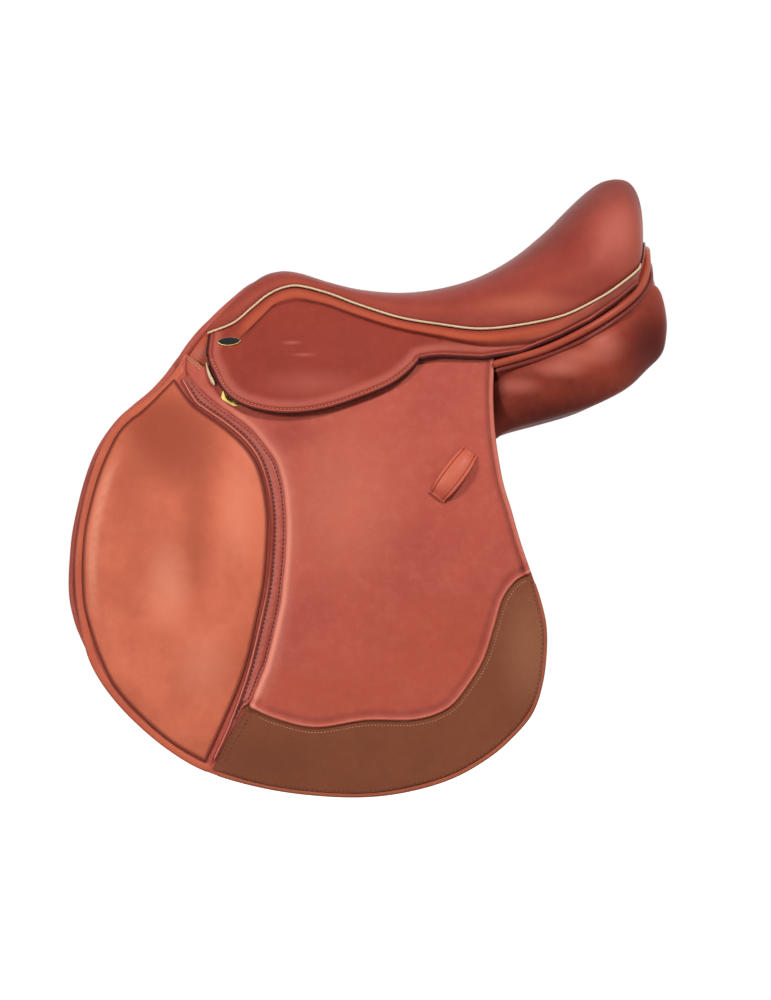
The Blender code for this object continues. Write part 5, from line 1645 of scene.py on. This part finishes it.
def make_pocket():
    form = draped([rounded(POCKET_OUTLINE, (0, 1))], *POCKET_LAYER, 5.0, (0.4, 1.0), 0.9)
    add_both("point_pocket", form, "strap", "root", ["point_pocket"])


def subdivided(form, levels):
    """The form after Catmull-Clark subdivision."""
    mesh = bpy.data.meshes.new("cage")
    mesh.from_pydata(form.points.tolist(), [], form.faces)
    cage = add_object("cage", mesh)
    cage.modifiers.new("cushion", "SUBSURF").levels = levels
    bpy.context.view_layer.update()
    made = cage.evaluated_get(bpy.context.evaluated_depsgraph_get()).to_mesh()
    points = np.array([tuple(v.co) for v in made.vertices])
    faces = [tuple(p.vertices) for p in made.polygons]
    bpy.data.objects.remove(cage)
    bpy.data.meshes.remove(mesh)
    return Form(points, faces)


def make_panel():
    """The stuffed panel, puckered like soft leather over flock."""
    rings = [[(x, -width, z) for width, z in points] for x, *points in PANEL]
    form = subdivided(lofted(rings), 4)
    normals = vertex_normals(form.points, form.faces)
    x, y, z = form.points.T
    pucker = (0.45 * np.sin(x / 6.5 + 1.8 * np.sin(z / 17.0)) * bell(z - 0.42 * x, 8, 16.0)
              + 0.35 * np.sin(x / 15.0 + z / 9.0) * np.sin(z / 21.0 - x / 33.0))
    form.points = form.points + normals * np.where(x > 70, pucker, 0.3 * pucker)[:, None]
    add_both("panel", form, "panel", "root", ["panel"], sharp=70.0)


def dress_frame():
    """Materials of the CAD nodes that stay."""
    looks = {"tree": "beech", "head_plate": "steel", "gullet_plate": "steel",
             "seat_web_long": "webbing", "girth_web": "webbing"}
    for stem in ("spring_steel", "stirrup_bar", "bar_catch", "bar_rivet_front", "bar_rivet_rear"):
        looks.update({f"{stem}_{side}": "steel" for side in SIDES})
    for name, look in looks.items():
        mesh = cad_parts[name].data
        mesh.materials.clear()
        mesh.materials.append(LOOKS[look])
        smooth_shaded(mesh, 30)


# Studio

# Name, place, diameter and power in watts
LAMPS = (
    ("key", (-2.0, -2.2, 1.0), 0.8, 46.0),
    ("fill", (1.5, -2.0, 2.6), 0.7, 90.0),
    ("back", (0.3, 2.8, 0.6), 1.8, 12.0),
)
WHITE = (1.0, 1.0, 1.0)
FLOOR_Z = -0.46
FLOOR_REACH = 14.0


def make_camera():
    """The photograph's view: level and square to the near side, 3 m away."""
    data = bpy.data.cameras.new("camera")
    data.lens = 108.0
    data.sensor_width = 36.0
    camera = add_object("camera", data)
    camera.location = (-0.0195, -3.0, -0.060)
    camera.rotation_euler = (math.radians(90), 0.0, 0.0)
    bpy.context.scene.camera = camera


def add_lamp(name, location, size, power):
    """A round lamp that faces the saddle."""
    data = bpy.data.lights.new(name, "AREA")
    data.shape = "DISK"
    data.size = size
    data.energy = power
    lamp = add_object(name, data)
    lamp.location = location
    lamp.rotation_euler = (-Vector(location)).to_track_quat("-Z", "Y").to_euler()


def direct_rays(tree):
    """1 for the rays that show the background itself: camera, mirror and glass rays."""
    path = add_node(tree, "LightPath")
    mirrored = maths(tree, "MAXIMUM", path.outputs["Is Glossy Ray"], path.outputs["Is Transmission Ray"])
    return maths(tree, "MAXIMUM", path.outputs["Is Camera Ray"], mirrored)


def make_studio():
    """A white room: floor and background look white themselves, and hardly light the saddle."""
    corners = [(x * FLOOR_REACH, y * FLOOR_REACH, FLOOR_Z) for x, y in ((-1, -1), (1, -1), (1, 1), (-1, 1))]
    mesh = bpy.data.meshes.new("floor")
    mesh.from_pydata(corners, [], [(0, 1, 2, 3)])
    floor = add_object("floor", mesh)
    made = bpy.data.materials.new("pale_floor")
    made.use_nodes = True
    tree = made.node_tree
    shader = tree.nodes["Principled BSDF"]
    for name, value in (("Base Color", (0.6, 0.6, 0.6)), ("Roughness", 0.9), ("Specular IOR Level", 0.0)):
        feed(tree, value, shader.inputs[name])
    strength = maths(tree, "MULTIPLY", direct_rays(tree), 0.93)
    glow = add_node(tree, "Emission", {"Strength": strength})
    both = add_node(tree, "AddShader", {0: shader.outputs[0], 1: glow.outputs[0]})
    feed(tree, both.outputs[0], tree.nodes["Material Output"].inputs["Surface"])
    mesh.materials.append(made)
    world = bpy.data.worlds.new("studio")
    world.use_nodes = True
    bpy.context.scene.world = world
    tree = world.node_tree
    background = tree.nodes["Background"]
    feed(tree, WHITE, background.inputs["Color"])
    feed(tree, 0.11, background.inputs["Strength"])
    seen = add_node(tree, "Background", {"Color": WHITE})
    mix = add_node(tree, "MixShader", {0: direct_rays(tree), 1: background.outputs[0], 2: seen.outputs[0]})
    feed(tree, mix.outputs[0], tree.nodes["World Output"].inputs["Surface"])
    for name, location, size, power in LAMPS:
        add_lamp(name, location, size, power)


make_camera()
make_studio()
dress_frame()
make_seat()
make_piping()
make_rolls()
make_cantle_back()
make_head()
make_skirt(make_band())
make_nail_plate()
make_flap()
make_flap_top()
make_binding()
make_knee_pad()
make_welt()
make_patch()
make_keeper()
make_dee()
make_chape()
make_sweat_flap()
make_front_roll()
make_knee_block()
make_billets()
make_guard()
make_pocket()
make_panel()

bpy.context.scene.view_settings.view_transform = "Standard"
